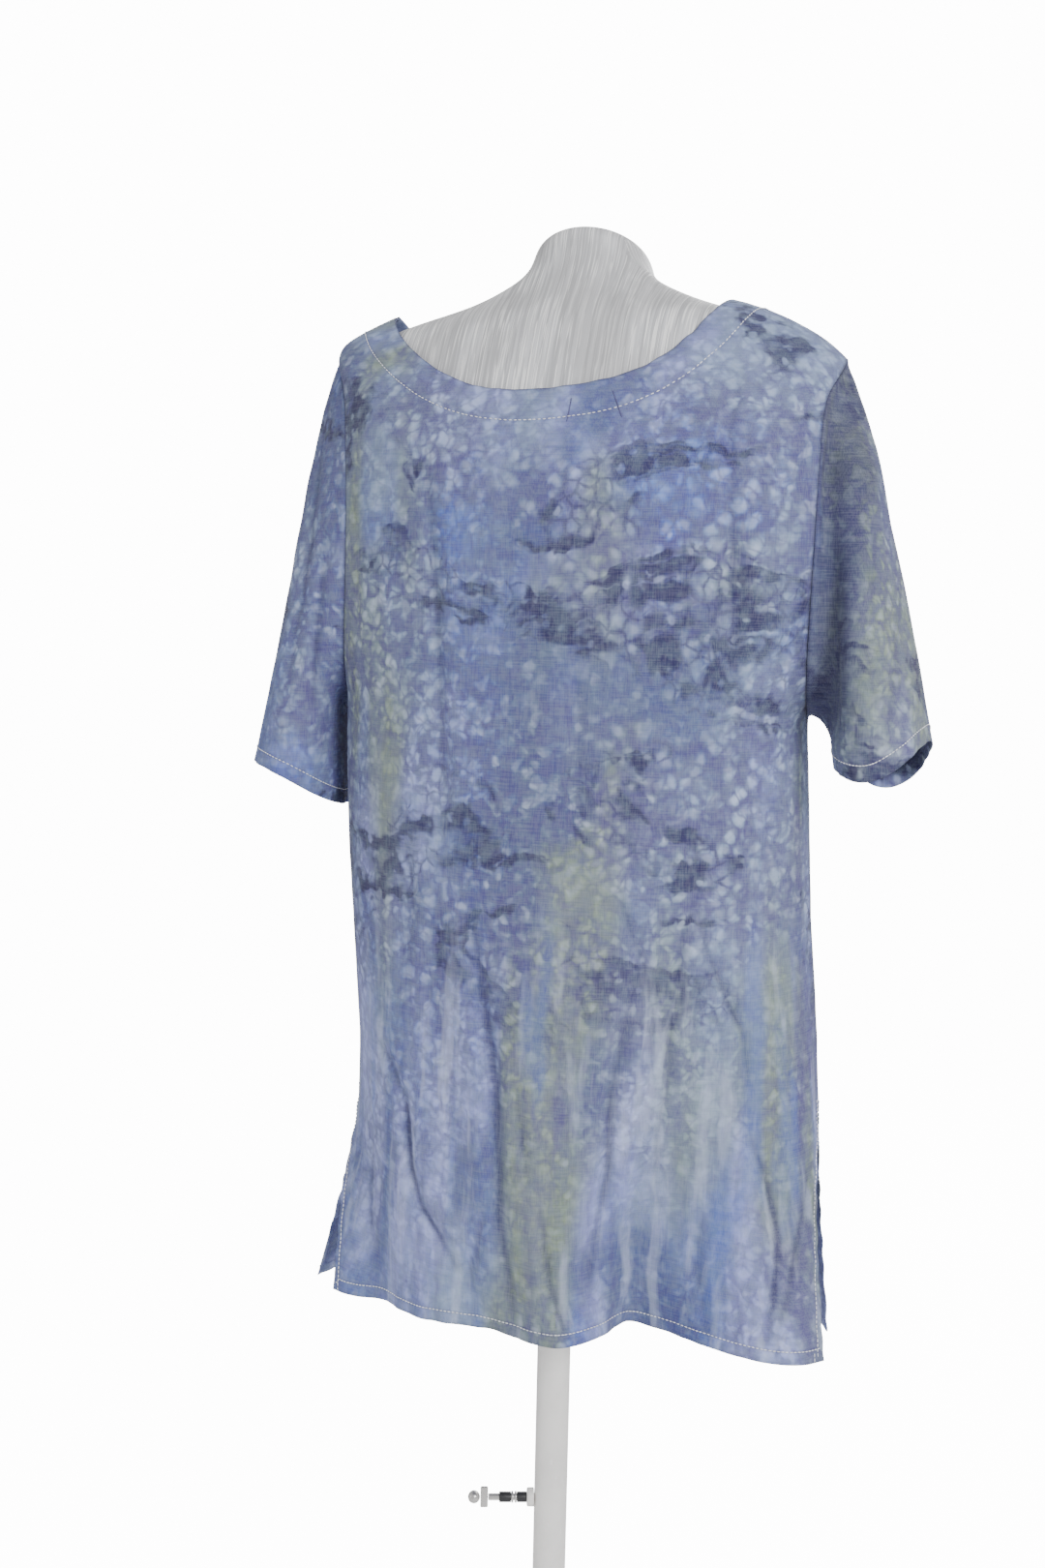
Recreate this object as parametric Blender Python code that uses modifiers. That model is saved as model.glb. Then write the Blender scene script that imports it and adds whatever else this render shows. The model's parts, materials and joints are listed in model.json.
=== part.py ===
"""A wide short-sleeved tunic t-shirt on a torso dress form with a pole stand.

Metres, +Z up.  The origin is the middle of the underside of the round base, on the pole's axis.
-Y is the side where the back of the tunic and of the form faces, +Y is their front, and left is -X.

The form is a thin moulded shell lofted through horizontal sections, with a short neck cut on a slant.
The tunic is cut and sewn: a back, a front, two sleeves and a neck facing.  Each is a cloth wall of its
own, worked out from level lines that run across a panel at its neckline, shoulder, armhole, waist and
hem.  The panels meet at the shoulder and side seams, 0.3 mm apart, and the sides are slit at the bottom.
The form rides on a rod that slides in the pole, and a screw in a boss on the pole clamps the rod.
"""

import math
from collections import namedtuple

import bmesh
import bpy
from mathutils import Vector
from mathutils.bvhtree import BVHTree

# Gaps, walls and facets.  Walls that meet at a seam share one mitred way out, which is never longer than
# its mean way divided by LEAST_MITRE.
SEAM_GAP = 0.0003
LEAST_MITRE = 0.20
CLOTH_WALL = 0.0011
SHELL_WALL = 0.004
ROUND_STEPS = 28

# The stand, from the floor up
BASE_RADIUS = 0.160
BASE_THICKNESS = 0.008
BASE_EDGE_ROUND = 0.003
BASE_STEPS = 56
FLANGE_RADIUS = 0.034
FLANGE_HEIGHT = 0.028
FLANGE_PLATE = 0.004
FLANGE_WALL = 0.006
FLANGE_CHAMFER = 0.002
POLE_RADIUS = 0.0151
POLE_BORE = 0.0129
POLE_TOP = 0.700
COLLAR_RADIUS = 0.0182
COLLAR_HEIGHT = 0.018
COLLAR_LIP = 0.003
COLLAR_CHAMFER = 0.002
ROD_RADIUS = 0.0125
ROD_BORE = 0.0105
ROD_BOTTOM = 0.170
ROD_TOP = 1.010

# The clamp screw, which points to the left and a little backwards
SCREW_HEIGHT = 0.434
SCREW_TURN_DEG = 200.0
BOSS_RADIUS = 0.0082
BOSS_LENGTH = 0.0065
BOSS_CHAMFER = 0.001
SHAFT_RADIUS = 0.0030
SHAFT_TAIL = 0.010
SHAFT_STEPS = 16
SCREW_STEPS = 20
GRIP_RADIUS = 0.0046
GRIP_LENGTH = 0.0250
GRIP_RINGS_AT = 0.42
GRIP_RING_WIDTH = 0.0018
GRIP_RING_SPACING = 0.0030
GRIP_RING_PROUD = 0.0004
WING_SPAN = 0.0200
WING_WIDTH = 0.0070
WING_THICKNESS = 0.0026
WING_ROUND = 0.0010
BALL_RADIUS = 0.0056

# The dress form
FORM_BOTTOM = 0.880
FORM_COLUMNS = 28
BOARD_INSET = 0.0045
BOARD_RECESS = 0.003
BOARD_THICKNESS = 0.012
SOCKET_RADIUS = 0.0180
SOCKET_DROP = 0.030
SOCKET_RISE = 0.110
SOCKET_CAP = 0.006
FormSection = namedtuple("FormSection", "height half_width back front middle square lean")
FORM_SECTIONS = [
    FormSection(0.880, 0.160, 0.106, 0.096, 0.000, 2.4, 0.00),
    FormSection(0.906, 0.166, 0.112, 0.098, 0.000, 2.4, 0.00),
    FormSection(0.950, 0.174, 0.117, 0.100, 0.000, 2.4, 0.00),
    FormSection(1.000, 0.168, 0.110, 0.097, 0.000, 2.3, 0.00),
    FormSection(1.060, 0.148, 0.090, 0.090, 0.000, 2.2, 0.00),
    FormSection(1.115, 0.134, 0.078, 0.085, 0.002, 2.1, 0.00),
    FormSection(1.175, 0.140, 0.084, 0.094, 0.004, 2.1, 0.00),
    FormSection(1.235, 0.156, 0.095, 0.114, 0.006, 2.2, 0.00),
    FormSection(1.290, 0.170, 0.102, 0.126, 0.006, 2.3, 0.00),
    FormSection(1.340, 0.184, 0.104, 0.114, 0.004, 2.4, 0.00),
    FormSection(1.385, 0.208, 0.098, 0.094, 0.002, 2.2, 0.00),
    FormSection(1.420, 0.219, 0.088, 0.080, 0.002, 2.1, 0.00),
    FormSection(1.447, 0.213, 0.077, 0.070, 0.004, 2.0, 0.02),
    FormSection(1.468, 0.198, 0.070, 0.062, 0.008, 1.9, 0.06),
    FormSection(1.482, 0.178, 0.065, 0.057, 0.013, 1.7, 0.11),
    FormSection(1.491, 0.150, 0.062, 0.053, 0.020, 1.5, 0.16),
    FormSection(1.499, 0.120, 0.060, 0.052, 0.027, 1.45, 0.21),
    FormSection(1.509, 0.090, 0.057, 0.052, 0.034, 1.6, 0.27),
    FormSection(1.518, 0.066, 0.054, 0.052, 0.040, 1.85, 0.33),
    FormSection(1.529, 0.0555, 0.0525, 0.0510, 0.044, 2.0, 0.38),
    FormSection(1.538, 0.0530, 0.0520, 0.0505, 0.046, 2.0, 0.40),
    FormSection(1.5455, 0.0500, 0.0490, 0.0480, 0.046, 2.0, 0.41),
    FormSection(1.5498, 0.0430, 0.0420, 0.0410, 0.046, 2.0, 0.42),
    FormSection(1.5520, 0.0300, 0.0290, 0.0285, 0.046, 2.0, 0.42),
    FormSection(1.5530, 0.0140, 0.0138, 0.0135, 0.046, 2.0, 0.42),
]

# How the cloth is laid over the form
FORM_CLEARANCE = 0.0005
FACING_CLEARANCE = 0.0010
SLEEVE_CLEARANCE = 0.0025
DRAPE_ROUNDS = 4
RELAX_SHARE = 0.5
RELAX_MARGIN = 4
SETTLE_PASSES = 8
SETTLE_REACH = 0.05

# The tunic's level lines.  A line runs from a panel's left edge to its right edge: rows is how many rows
# of points lead down to it, z is its height at the middle and at both ends, left and right are its ends,
# and y is its depth at the ends and the middle.  sweep is the turn from its middle to its ends.
PANEL_COLUMNS = 24
FACING_WIDTH = 0.028
FACING_ROWS = 2
YOKE_STEPS = 40
Level = namedtuple(
    "Level", "name rows middle_z left_z right_z left right edge_y middle_y sweep_deg square"
)
BACK_LEVELS = [
    Level("neckline", 0, 1.4200, 1.5010, 1.5000, -0.172, 0.133, 0.023, -0.090, 90, 1.8),
    Level("yoke", 3, 1.3800, 1.4855, 1.4790, -0.196, 0.184, 0.010, -0.108, 90, 2.0),
    Level("shoulder", 2, 1.3520, 1.4700, 1.4500, -0.216, 0.226, 0.000, -0.114, 90, 2.1),
    Level("armhole top", 3, 1.3220, 1.4200, 1.4080, -0.190, 0.216, -0.052, -0.118, 72, 2.1),
    Level("armhole", 3, 1.2650, 1.3150, 1.3150, -0.181, 0.215, -0.068, -0.120, 62, 2.2),
    Level("armhole low", 3, 1.1950, 1.2150, 1.2170, -0.187, 0.211, -0.058, -0.121, 66, 2.1),
    Level("armhole foot", 2, 1.1550, 1.1720, 1.1740, -0.196, 0.208, -0.030, -0.121, 77, 2.1),
    Level("underarm", 1, 1.1360, 1.1580, 1.1600, -0.203, 0.205, 0.000, -0.122, 90, 2.1),
    Level("waist", 4, 0.9950, 1.0000, 1.0000, -0.197, 0.214, 0.000, -0.126, 90, 2.1),
    Level("hip", 3, 0.8900, 0.8900, 0.8900, -0.188, 0.224, -0.003, -0.129, 90, 2.1),
    Level("slit top", 3, 0.8100, 0.8100, 0.8100, -0.186, 0.230, -0.010, -0.131, 88, 2.1),
    Level("skirt", 3, 0.7300, 0.7250, 0.7300, -0.189, 0.236, -0.045, -0.132, 76, 2.0),
    Level("hem", 3, 0.6540, 0.6400, 0.6490, -0.181, 0.250, -0.084, -0.130, 66, 2.0),
]
FRONT_LEVELS = [
    Level("neckline", 0, 1.3850, 1.5010, 1.5000, -0.172, 0.133, 0.023, 0.100, 90, 1.8),
    Level("yoke", 3, 1.3450, 1.4855, 1.4790, -0.196, 0.184, 0.010, 0.114, 90, 2.0),
    Level("shoulder", 2, 1.3220, 1.4700, 1.4500, -0.216, 0.226, 0.000, 0.125, 90, 2.1),
    Level("armhole top", 3, 1.2980, 1.4200, 1.4080, -0.192, 0.214, 0.052, 0.134, 72, 2.1),
    Level("armhole", 3, 1.2550, 1.3150, 1.3150, -0.186, 0.211, 0.068, 0.141, 62, 2.2),
    Level("armhole low", 3, 1.1900, 1.2150, 1.2170, -0.190, 0.208, 0.058, 0.141, 66, 2.1),
    Level("armhole foot", 2, 1.1520, 1.1720, 1.1740, -0.198, 0.206, 0.030, 0.141, 77, 2.1),
    Level("underarm", 1, 1.1350, 1.1580, 1.1600, -0.203, 0.205, 0.000, 0.141, 90, 2.1),
    Level("waist", 4, 0.9950, 1.0000, 1.0000, -0.197, 0.214, 0.000, 0.139, 90, 2.1),
    Level("hip", 3, 0.8900, 0.8900, 0.8900, -0.188, 0.224, -0.003, 0.138, 90, 2.1),
    Level("slit top", 3, 0.8100, 0.8100, 0.8100, -0.186, 0.230, -0.010, 0.139, 90, 2.1),
    Level("skirt", 3, 0.7200, 0.7100, 0.7250, -0.210, 0.235, 0.000, 0.141, 88, 2.0),
    Level("hem", 3, 0.6350, 0.6080, 0.6330, -0.238, 0.243, 0.004, 0.143, 84, 2.0),
]
SHOULDER_SEAM = ("neckline", "shoulder")
ARMHOLE_SEAM = ("shoulder", "underarm")
SIDE_SEAM = ("underarm", "slit top")
# How a level line climbs from its middle to its left and right ends: a higher power stays low for longer
Rise = namedtuple("Rise", "left right")
BACK_NECKLINE_RISE = Rise(2.2, 4.5)
FRONT_NECKLINE_RISE = Rise(2.4, 3.0)
LEVEL_RISE = Rise(2.0, 2.0)

# The folds.  Across is -1 at a panel's left edge and 1 at its right, and drift moves the fold that way
# from its top to its deepest place.  Out is how far it lifts the cloth there.
Fold = namedtuple("Fold", "across drift width out top deepest bottom")
BACK_FOLDS = [
    Fold(0.00, 0.02, 0.22, 0.024, 1.10, 0.66, 0.30),
    Fold(0.35, 0.02, 0.34, -0.062, 1.00, 0.66, 0.30),
    Fold(0.80, 0.00, 0.24, 0.010, 0.92, 0.66, 0.30),
    Fold(-0.40, 0.05, 0.24, 0.013, 0.96, 0.66, 0.30),
    Fold(-0.78, 0.04, 0.20, -0.017, 0.98, 0.66, 0.30),
    Fold(-0.50, 0.04, 0.13, -0.005, 1.42, 1.29, 1.10),
    Fold(0.58, -0.02, 0.13, -0.005, 1.46, 1.33, 1.12),
]
FRONT_FOLDS = [
    Fold(-0.66, -0.03, 0.26, -0.024, 0.98, 0.65, 0.30),
    Fold(-0.28, 0.00, 0.26, 0.018, 1.10, 0.65, 0.30),
    Fold(0.06, 0.02, 0.28, -0.036, 1.02, 0.65, 0.30),
    Fold(0.44, 0.00, 0.26, 0.020, 1.12, 0.65, 0.30),
    Fold(0.78, 0.00, 0.20, -0.016, 0.94, 0.65, 0.30),
    Fold(-0.46, -0.06, 0.15, -0.006, 1.40, 1.20, 0.98),
    Fold(0.46, 0.06, 0.15, -0.006, 1.40, 1.18, 0.96),
]

# The sleeves: four points of each cuff, and how the cloth leaves the armhole
SLEEVE_RINGS = 10
Cuff = namedtuple("Cuff", "outer back inner front")
CUFF_LEFT = Cuff(
    (-0.294, 0.000, 1.104), (-0.238, -0.076, 1.096), (-0.210, 0.000, 1.066), (-0.257, 0.080, 1.090)
)
CUFF_RIGHT = Cuff(
    (0.306, 0.000, 1.147), (0.268, -0.084, 1.119), (0.232, 0.000, 1.126), (0.272, 0.078, 1.098)
)
SHOULDER_TURN = 3.0
UNDERARM_FROM = 0.35
UNDERARM_SPAN = 0.5
REACH_TOP = 0.075
REACH_SIDE = 0.050
REACH_UNDERARM = 0.050
CUFF_DROP = 0.75
CUFF_FLARE = 0.20

# Colours: red, green, blue, roughness, metallic
Finish = namedtuple("Finish", "red green blue roughness metallic")
FINISHES = {
    "dyed_cloth": Finish(0.27, 0.33, 0.50, 0.85, 0.0),
    "facing_cloth": Finish(0.24, 0.29, 0.46, 0.85, 0.0),
    "silver_shell": Finish(0.62, 0.62, 0.63, 0.35, 0.6),
    "form_board": Finish(0.42, 0.42, 0.43, 0.60, 0.0),
    "pole_paint": Finish(0.74, 0.72, 0.71, 0.45, 0.0),
    "rod_steel": Finish(0.60, 0.60, 0.61, 0.30, 1.0),
    "black_plastic": Finish(0.03, 0.03, 0.035, 0.45, 0.0),
    "bright_chrome": Finish(0.80, 0.80, 0.81, 0.12, 1.0),
    "base_paint": Finish(0.70, 0.69, 0.68, 0.45, 0.0),
}


def clear_scene():
    """Removes whatever the file holds, so that the model starts from nothing."""
    for found in list(bpy.data.objects):
        bpy.data.objects.remove(found, do_unlink=True)


def material(name):
    """The named finish as a Principled material, made once."""
    if name in bpy.data.materials:
        return bpy.data.materials[name]
    finish = FINISHES[name]
    made = bpy.data.materials.new(name)
    made.use_nodes = True
    shader = made.node_tree.nodes["Principled BSDF"]
    shader.inputs["Base Color"].default_value = (finish.red, finish.green, finish.blue, 1.0)
    shader.inputs["Roughness"].default_value = finish.roughness
    shader.inputs["Metallic"].default_value = finish.metallic
    return made


def add_object(name, bm, finish, collection, smooth=True):
    """Turns a bmesh into a named object in the collection."""
    mesh = bpy.data.meshes.new(name)
    bm.to_mesh(mesh)
    bm.free()
    if smooth:
        mesh.shade_smooth()
    made = bpy.data.objects.new(name, mesh)
    mesh.materials.append(material(finish))
    collection.objects.link(made)
    return made


def blend(low, high, share):
    """A straight mix of two numbers or vectors."""
    return low * (1.0 - share) + high * share


def smooth_step(share):
    """0 to 1 with a soft start and end."""
    share = min(1.0, max(0.0, share))
    return share * share * (3.0 - 2.0 * share)


def superellipse(angle, square):
    """A point of the unit superellipse, measured from its middle towards its right end."""
    across, along = math.sin(angle), math.cos(angle)
    swell = (abs(across) ** square + abs(along) ** square) ** (-1.0 / square)
    return across * swell, along * swell


def steady_slope(before, after):
    """The slope of one coordinate at a mark, level where it turns back, so it never overshoots."""
    return 0.0 if before * after <= 0.0 else 2.0 * before * after / (before + after)


def curve_through(points, counts):
    """Points on a smooth curve through the given ones, with counts[i] steps up to points[i]."""
    spans = [max((b - a).length, 1e-6) for a, b in zip(points, points[1:])]
    slopes = [(b - a) / span for a, b, span in zip(points, points[1:], spans)]
    tangents = [slopes[0]]
    for before, after in zip(slopes, slopes[1:]):
        tangents.append(Vector(steady_slope(*pair) for pair in zip(before, after)))
    tangents.append(slopes[-1])
    curve = [points[0].copy()]
    for i, span in enumerate(spans):
        for step in range(1, counts[i + 1] + 1):
            share = step / counts[i + 1]
            leave, arrive = tangents[i] * span, tangents[i + 1] * span
            curve.append(hermite(points[i], leave, points[i + 1], arrive, share))
    return curve


def hermite(start, leave, end, arrive, share):
    """A point between start and end on the curve with those end directions."""
    square, cube = share**2, share**3
    return (
        start * (2 * cube - 3 * square + 1)
        + leave * (cube - 2 * square + share)
        + end * (3 * square - 2 * cube)
        + arrive * (cube - square)
    )


def ring_sheet(rings):
    """An open sheet of quads through closed rings of points."""
    bm = bmesh.new()
    grid = [[bm.verts.new(point) for point in ring] for ring in rings]
    columns = len(rings[0])
    for upper, lower in zip(grid, grid[1:]):
        for i in range(columns):
            j = (i + 1) % columns
            bm.faces.new((upper[i], lower[i], lower[j], upper[j]))
    return bm


def thicken(made, wall, outward):
    """Gives an open sheet a wall, outward or inward from its points."""
    solid = made.modifiers.new("wall", "SOLIDIFY")
    solid.thickness = wall
    solid.offset = 1.0 if outward else -1.0
    solid.use_even_offset = False
    solid.use_rim = True
    return made


def form_ring(section, inset=0.0):
    """One closed section of the form, as points round from the middle of its back."""
    ring = []
    for i in range(FORM_COLUMNS):
        angle = math.tau * i / FORM_COLUMNS
        across, along = superellipse(angle, section.square)
        depth = (section.back if along > 0 else section.front) - inset
        y = section.middle - along * depth
        z = section.height - section.lean * (y - section.middle)
        ring.append(Vector((across * (section.half_width - inset), y, z)))
    return ring


def form_skin():
    """The outer skin of the form: open at the bottom, closed over the neck."""
    rings = [form_ring(section) for section in FORM_SECTIONS]
    bm = ring_sheet(rings[::-1])
    bm.verts.ensure_lookup_table()
    crown = bm.verts[:FORM_COLUMNS]
    centre = bm.verts.new(sum((v.co for v in crown), Vector()) / FORM_COLUMNS)
    for i, corner in enumerate(crown):
        bm.faces.new((centre, corner, crown[(i + 1) % FORM_COLUMNS]))
    bmesh.ops.recalc_face_normals(bm, faces=bm.faces)
    return bm


def level_point(level, across, rise):
    """The point of a level line at across, from -1 at the left edge to 1 at the right."""
    sweep = math.radians(level.sweep_deg)
    end_x, end_y = superellipse(sweep, level.square)
    x, y = superellipse(sweep * across, level.square)
    share_x = x / end_x
    share_y = (y - end_y) / (1.0 - end_y)
    edge_z, power = (level.left_z, rise.left) if across < 0 else (level.right_z, rise.right)
    return Vector(
        (
            (level.left + level.right) / 2 + (level.right - level.left) / 2 * share_x,
            blend(level.edge_y, level.middle_y, share_y),
            blend(level.middle_z, edge_z, abs(share_x) ** power),
        )
    )


def fold_reach(folds, across, height):
    """How far the folds push the cloth out at a place on its panel."""
    reach = 0.0
    for fold in folds:
        fallen = (fold.top - height) / (fold.top - fold.deepest)
        left_to_fall = (height - fold.bottom) / (fold.deepest - fold.bottom)
        aside = abs(across - fold.across - fold.drift * fallen) / fold.width
        if aside < 1.0 and fallen > 0.0 and left_to_fall > 0.0:
            bell = 0.5 * (1.0 + math.cos(math.pi * aside))
            reach += fold.out * smooth_step(fallen) * smooth_step(left_to_fall) * bell
    return reach


def row_of(level_name):
    """The row of the panels at which a named level lies."""
    row = 0
    for level in BACK_LEVELS:
        row += level.rows
        if level.name == level_name:
            return row
    raise ValueError(level_name)


def facing_counts(column, levels):
    """Row shares of the first stretch, so that the facing's rows end FACING_WIDTH below the neckline."""
    first = levels[1].rows
    length = (column[1] - column[0]).length
    shares = [i * FACING_WIDTH / FACING_ROWS / length for i in range(FACING_ROWS + 1)]
    rest = first - FACING_ROWS
    last = shares[-1]
    return shares + [last + (1.0 - last) * i / rest for i in range(1, rest + 1)]


def panel_rows(levels, neckline_rise, folds):
    """Rows of points of a panel's inner face, from its neckline down."""
    columns = []
    counts = [level.rows for level in levels]
    for i in range(PANEL_COLUMNS + 1):
        across = 2.0 * i / PANEL_COLUMNS - 1.0
        marks = [level_point(level, across, LEVEL_RISE) for level in levels]
        marks[0] = level_point(levels[0], across, neckline_rise)
        column = curve_through(marks, counts)
        yoke = curve_through(marks[:3], [0, YOKE_STEPS, 1])
        for row, share in enumerate(facing_counts(marks, levels)):
            column[row] = yoke[min(YOKE_STEPS, round(share * YOKE_STEPS))]
        for point in column:
            reach = fold_reach(folds, across, point.z)
            middle = Vector(((levels[-1].left + levels[-1].right) / 2, 0.0, point.z))
            point += (point - middle).normalized() * reach
        columns.append(column)
    return [list(row) for row in zip(*columns)]


def relax(rows):
    """Eases a panel's inner points towards the middle of their neighbours, which evens out kinks.
    It acts less on the last RELAX_MARGIN columns before an edge, which keep the edge's own line."""
    last = len(rows[0]) - 1
    eased = []
    for r in range(1, len(rows) - 1):
        for i in range(1, last):
            around = (rows[r][i - 1], rows[r][i + 1], rows[r - 1][i], rows[r + 1][i])
            share = RELAX_SHARE * smooth_step(min(i, last - i) / RELAX_MARGIN)
            eased.append((rows[r][i], sum(around, Vector()) / len(around), share))
    for point, middle, share in eased:
        point.xyz = blend(point, middle, share)


def settle(rows, form, clearance, wrap=False, held=()):
    """Lifts a sheet's points until its faces lie clear of the form, as cloth that rests on it does.
    The points in held stay where they are."""
    held_ids = {id(point) for point in held}
    columns = len(rows[0])
    for _ in range(SETTLE_PASSES):
        lifts = {}
        for row, below in zip(rows, rows[1:]):
            for i in range(columns if wrap else columns - 1):
                j = (i + 1) % columns
                corners = (row[i], row[j], below[j], below[i])
                samples = [(corner, (corner,)) for corner in corners]
                samples += [((a + b) / 2, (a, b)) for a in corners for b in corners if a is not b]
                for place, owners in samples:
                    near, normal, _, away = form.find_nearest(place, SETTLE_REACH)
                    if near is None:
                        continue
                    height = away if (place - near).dot(normal) >= 0.0 else -away
                    lift = normal * (clearance - height)
                    for owner in owners:
                        before = lifts.get(id(owner), (Vector(), owner))[0]
                        if height < clearance and id(owner) not in held_ids and lift.length > before.length:
                            lifts[id(owner)] = (lift, owner)
        for lift, owner in lifts.values():
            owner += lift
    return rows


def outward_ways(rows, sign, wrap=False):
    """The outward unit vector at each point of a sheet.  sign turns it to the sheet's outer side."""
    last_row, last = len(rows) - 1, len(rows[0]) - 1
    ways = []
    for r, row in enumerate(rows):
        line = []
        for i in range(len(row)):
            before = row[i - 1] if wrap or i > 0 else row[i]
            after = row[(i + 1) % len(row)] if wrap or i < last else row[i]
            down = rows[min(r + 1, last_row)][i] - rows[max(r - 1, 0)][i]
            line.append((after - before).cross(down).normalized() * sign)
        ways.append(line)
    return ways


def share_way(*places):
    """Gives the sheets that meet at a point one way out, mitred, so that their walls end side by side.
    Each place is a line of ways and the number of the point in it."""
    mean = sum((line[i] for line, i in places), Vector()) / len(places)
    mean /= max(mean.length_squared, LEAST_MITRE)
    for line, i in places:
        line[i] = mean.copy()


def rim_faces(bm, inner_a, inner_b, outer_a, outer_b):
    """One stretch of a wall's cut edge.  It is split from its higher inner corner, so that the rims of two
    walls that meet in a seam lie side by side."""
    if inner_a.co.z < inner_b.co.z:
        inner_a, inner_b, outer_a, outer_b = inner_b, inner_a, outer_b, outer_a
    bm.faces.new((inner_a, inner_b, outer_b))
    bm.faces.new((inner_a, outer_b, outer_a))


def cloth_wall(name, rows, ways, finish, collection, wrap=False, turned_from=None):
    """A closed wall of cloth between a sheet's points and the same points CLOTH_WALL further out.
    From the column turned_from on, its quads are split along their other diagonal."""
    bm = bmesh.new()
    inner = [[bm.verts.new(point) for point in row] for row in rows]
    outer = [
        [bm.verts.new(point + way * CLOTH_WALL) for point, way in zip(row, line)]
        for row, line in zip(rows, ways)
    ]
    columns = len(rows[0])
    spans = [(i, (i + 1) % columns) for i in range(columns if wrap else columns - 1)]
    for skin in (inner, outer):
        for upper, lower in zip(skin, skin[1:]):
            for i, j in spans:
                corners = [upper[i], lower[i], lower[j], upper[j]]
                if turned_from is not None and i >= turned_from:
                    corners = corners[1:] + corners[:1]
                bm.faces.new(corners[:3])
                bm.faces.new((corners[0], corners[2], corners[3]))
    for edge in (0, -1):
        for i, j in spans:
            rim_faces(bm, inner[edge][i], inner[edge][j], outer[edge][i], outer[edge][j])
        if not wrap:
            for r in range(len(rows) - 1):
                rim_faces(bm, inner[r][edge], inner[r + 1][edge], outer[r][edge], outer[r + 1][edge])
    bmesh.ops.recalc_face_normals(bm, faces=bm.faces)
    return add_object(name, bm, finish, collection)


def make_facing(back, front, back_ways, front_ways, collection):
    """The band sewn inside the neckline, made from the panels' top rows moved in."""
    drop = SEAM_GAP + CLOTH_WALL
    rings, ways = [], []
    for row in range(FACING_ROWS + 1):
        ring = back[row][:-1] + front[row][:0:-1]
        line = back_ways[row][:-1] + front_ways[row][:0:-1]
        rings.append([point - way * drop for point, way in zip(ring, line)])
        ways.append(line)
    cloth_wall(
        "neck_facing", rings, ways, "facing_cloth", collection, wrap=True, turned_from=PANEL_COLUMNS
    )


def cuff_ring(cuff, count):
    """The cuff as a smooth loop through its outer, back, inner and front points."""
    outer, back, inner, front = (Vector(point) for point in cuff)
    centre = (outer + back + inner + front) / 4
    lengthwise = (outer - inner) / 2
    crosswise = (back - front) / 2
    twist = (outer + inner - back - front) / 4
    loop = []
    for i in range(count):
        angle = math.tau * i / count
        loop.append(
            centre
            + lengthwise * math.cos(angle)
            + crosswise * math.sin(angle)
            + twist * math.cos(2 * angle)
        )
    return loop


def armhole_places(back, front):
    """The panel and row of each point round an armhole, from the shoulder down the back and up the front."""
    top, bottom = (row_of(name) for name in ARMHOLE_SEAM)
    places = [(back, row) for row in range(top, bottom + 1)]
    return places + [(front, row) for row in range(bottom - 1, top, -1)]


def armhole(back, front, edge):
    """The points round an armhole, and the way out of the panel at each one, square to the seam.
    edge is 0 for the left and -1 for the right."""
    top, bottom = (row_of(name) for name in ARMHOLE_SEAM)
    inner = 1 if edge == 0 else -2
    places = armhole_places(back, front)
    seam = [panel[row][edge].copy() for panel, row in places]
    for i, row in ((0, top), (bottom - top, bottom)):
        seam[i] = (back[row][edge] + front[row][edge]) / 2
    shoulder_run = (seam[0] - (back[top - 1][edge] + front[top - 1][edge]) / 2).normalized()
    ways = []
    for i, (panel, row) in enumerate(places):
        away = (panel[row][edge] - panel[row][inner]).normalized()
        from_top = min(i, len(seam) - i)
        away = blend(shoulder_run, away, smooth_step(from_top / SHOULDER_TURN))
        along = seam_run(seam, i)
        ways.append((away - along * away.dot(along)).normalized())
    return seam, ways


def seam_run(seam, i):
    """The direction of a closed seam at one of its points."""
    return (seam[(i + 1) % len(seam)] - seam[i - 1]).normalized()


def part_from_seam(rows, ways):
    """Moves a sleeve's first ring SEAM_GAP away from the armhole's cut edge."""
    seam = [point.copy() for point in rows[0]]
    for i, (point, way, onward) in enumerate(zip(rows[0], ways, rows[1])):
        clear = seam_run(seam, i).cross(way).normalized()
        point += clear * math.copysign(SEAM_GAP, clear.dot(onward - point))


def sleeve_rows(back, front, edge, cuff, form):
    """Rings of a sleeve's inner face, from its armhole to its cuff."""
    seam, ways = armhole(back, front, edge)
    half = len(seam) // 2
    goal = cuff_ring(cuff, len(seam))
    sideways = Vector((-1.0 if edge == 0 else 1.0, 0.0, 0.0))
    strands = []
    for i, (start, way) in enumerate(zip(seam, ways)):
        under = 1.0 - abs(i - half) / half
        away = blend(way, sideways, smooth_step((under - UNDERARM_FROM) / UNDERARM_SPAN)).normalized()
        reach = blend(REACH_TOP, REACH_UNDERARM, under) + REACH_SIDE * math.sin(math.pi * under) / 2
        fall = (goal[i] - start).length * CUFF_DROP
        drop = Vector((sideways.x * CUFF_FLARE, 0.0, -1.0)).normalized() * fall
        strands.append(
            [
                hermite(start, away * reach, goal[i], drop, ring / SLEEVE_RINGS)
                for ring in range(SLEEVE_RINGS + 1)
            ]
        )
    rows = [list(ring) for ring in zip(*strands)]
    settle(rows, form, SLEEVE_CLEARANCE, wrap=True, held=rows[0])
    return rows


def turned(name, profile, finish, collection, steps=ROUND_STEPS, closed=False):
    """A turned piece about Z from its outline: x is the radius, y is the height, top to bottom."""
    bm = bmesh.new()
    points = [bm.verts.new((radius, 0.0, height)) for radius, height in profile]
    for upper, lower in zip(points, points[1:]):
        bm.edges.new((upper, lower))
    if closed:
        bm.edges.new((points[-1], points[0]))
    made = add_object(name, bm, finish, collection)
    screw = made.modifiers.new("turn", "SCREW")
    screw.steps = steps
    screw.render_steps = steps
    screw.use_merge_vertices = True
    screw.merge_threshold = 0.00001
    return made


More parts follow.
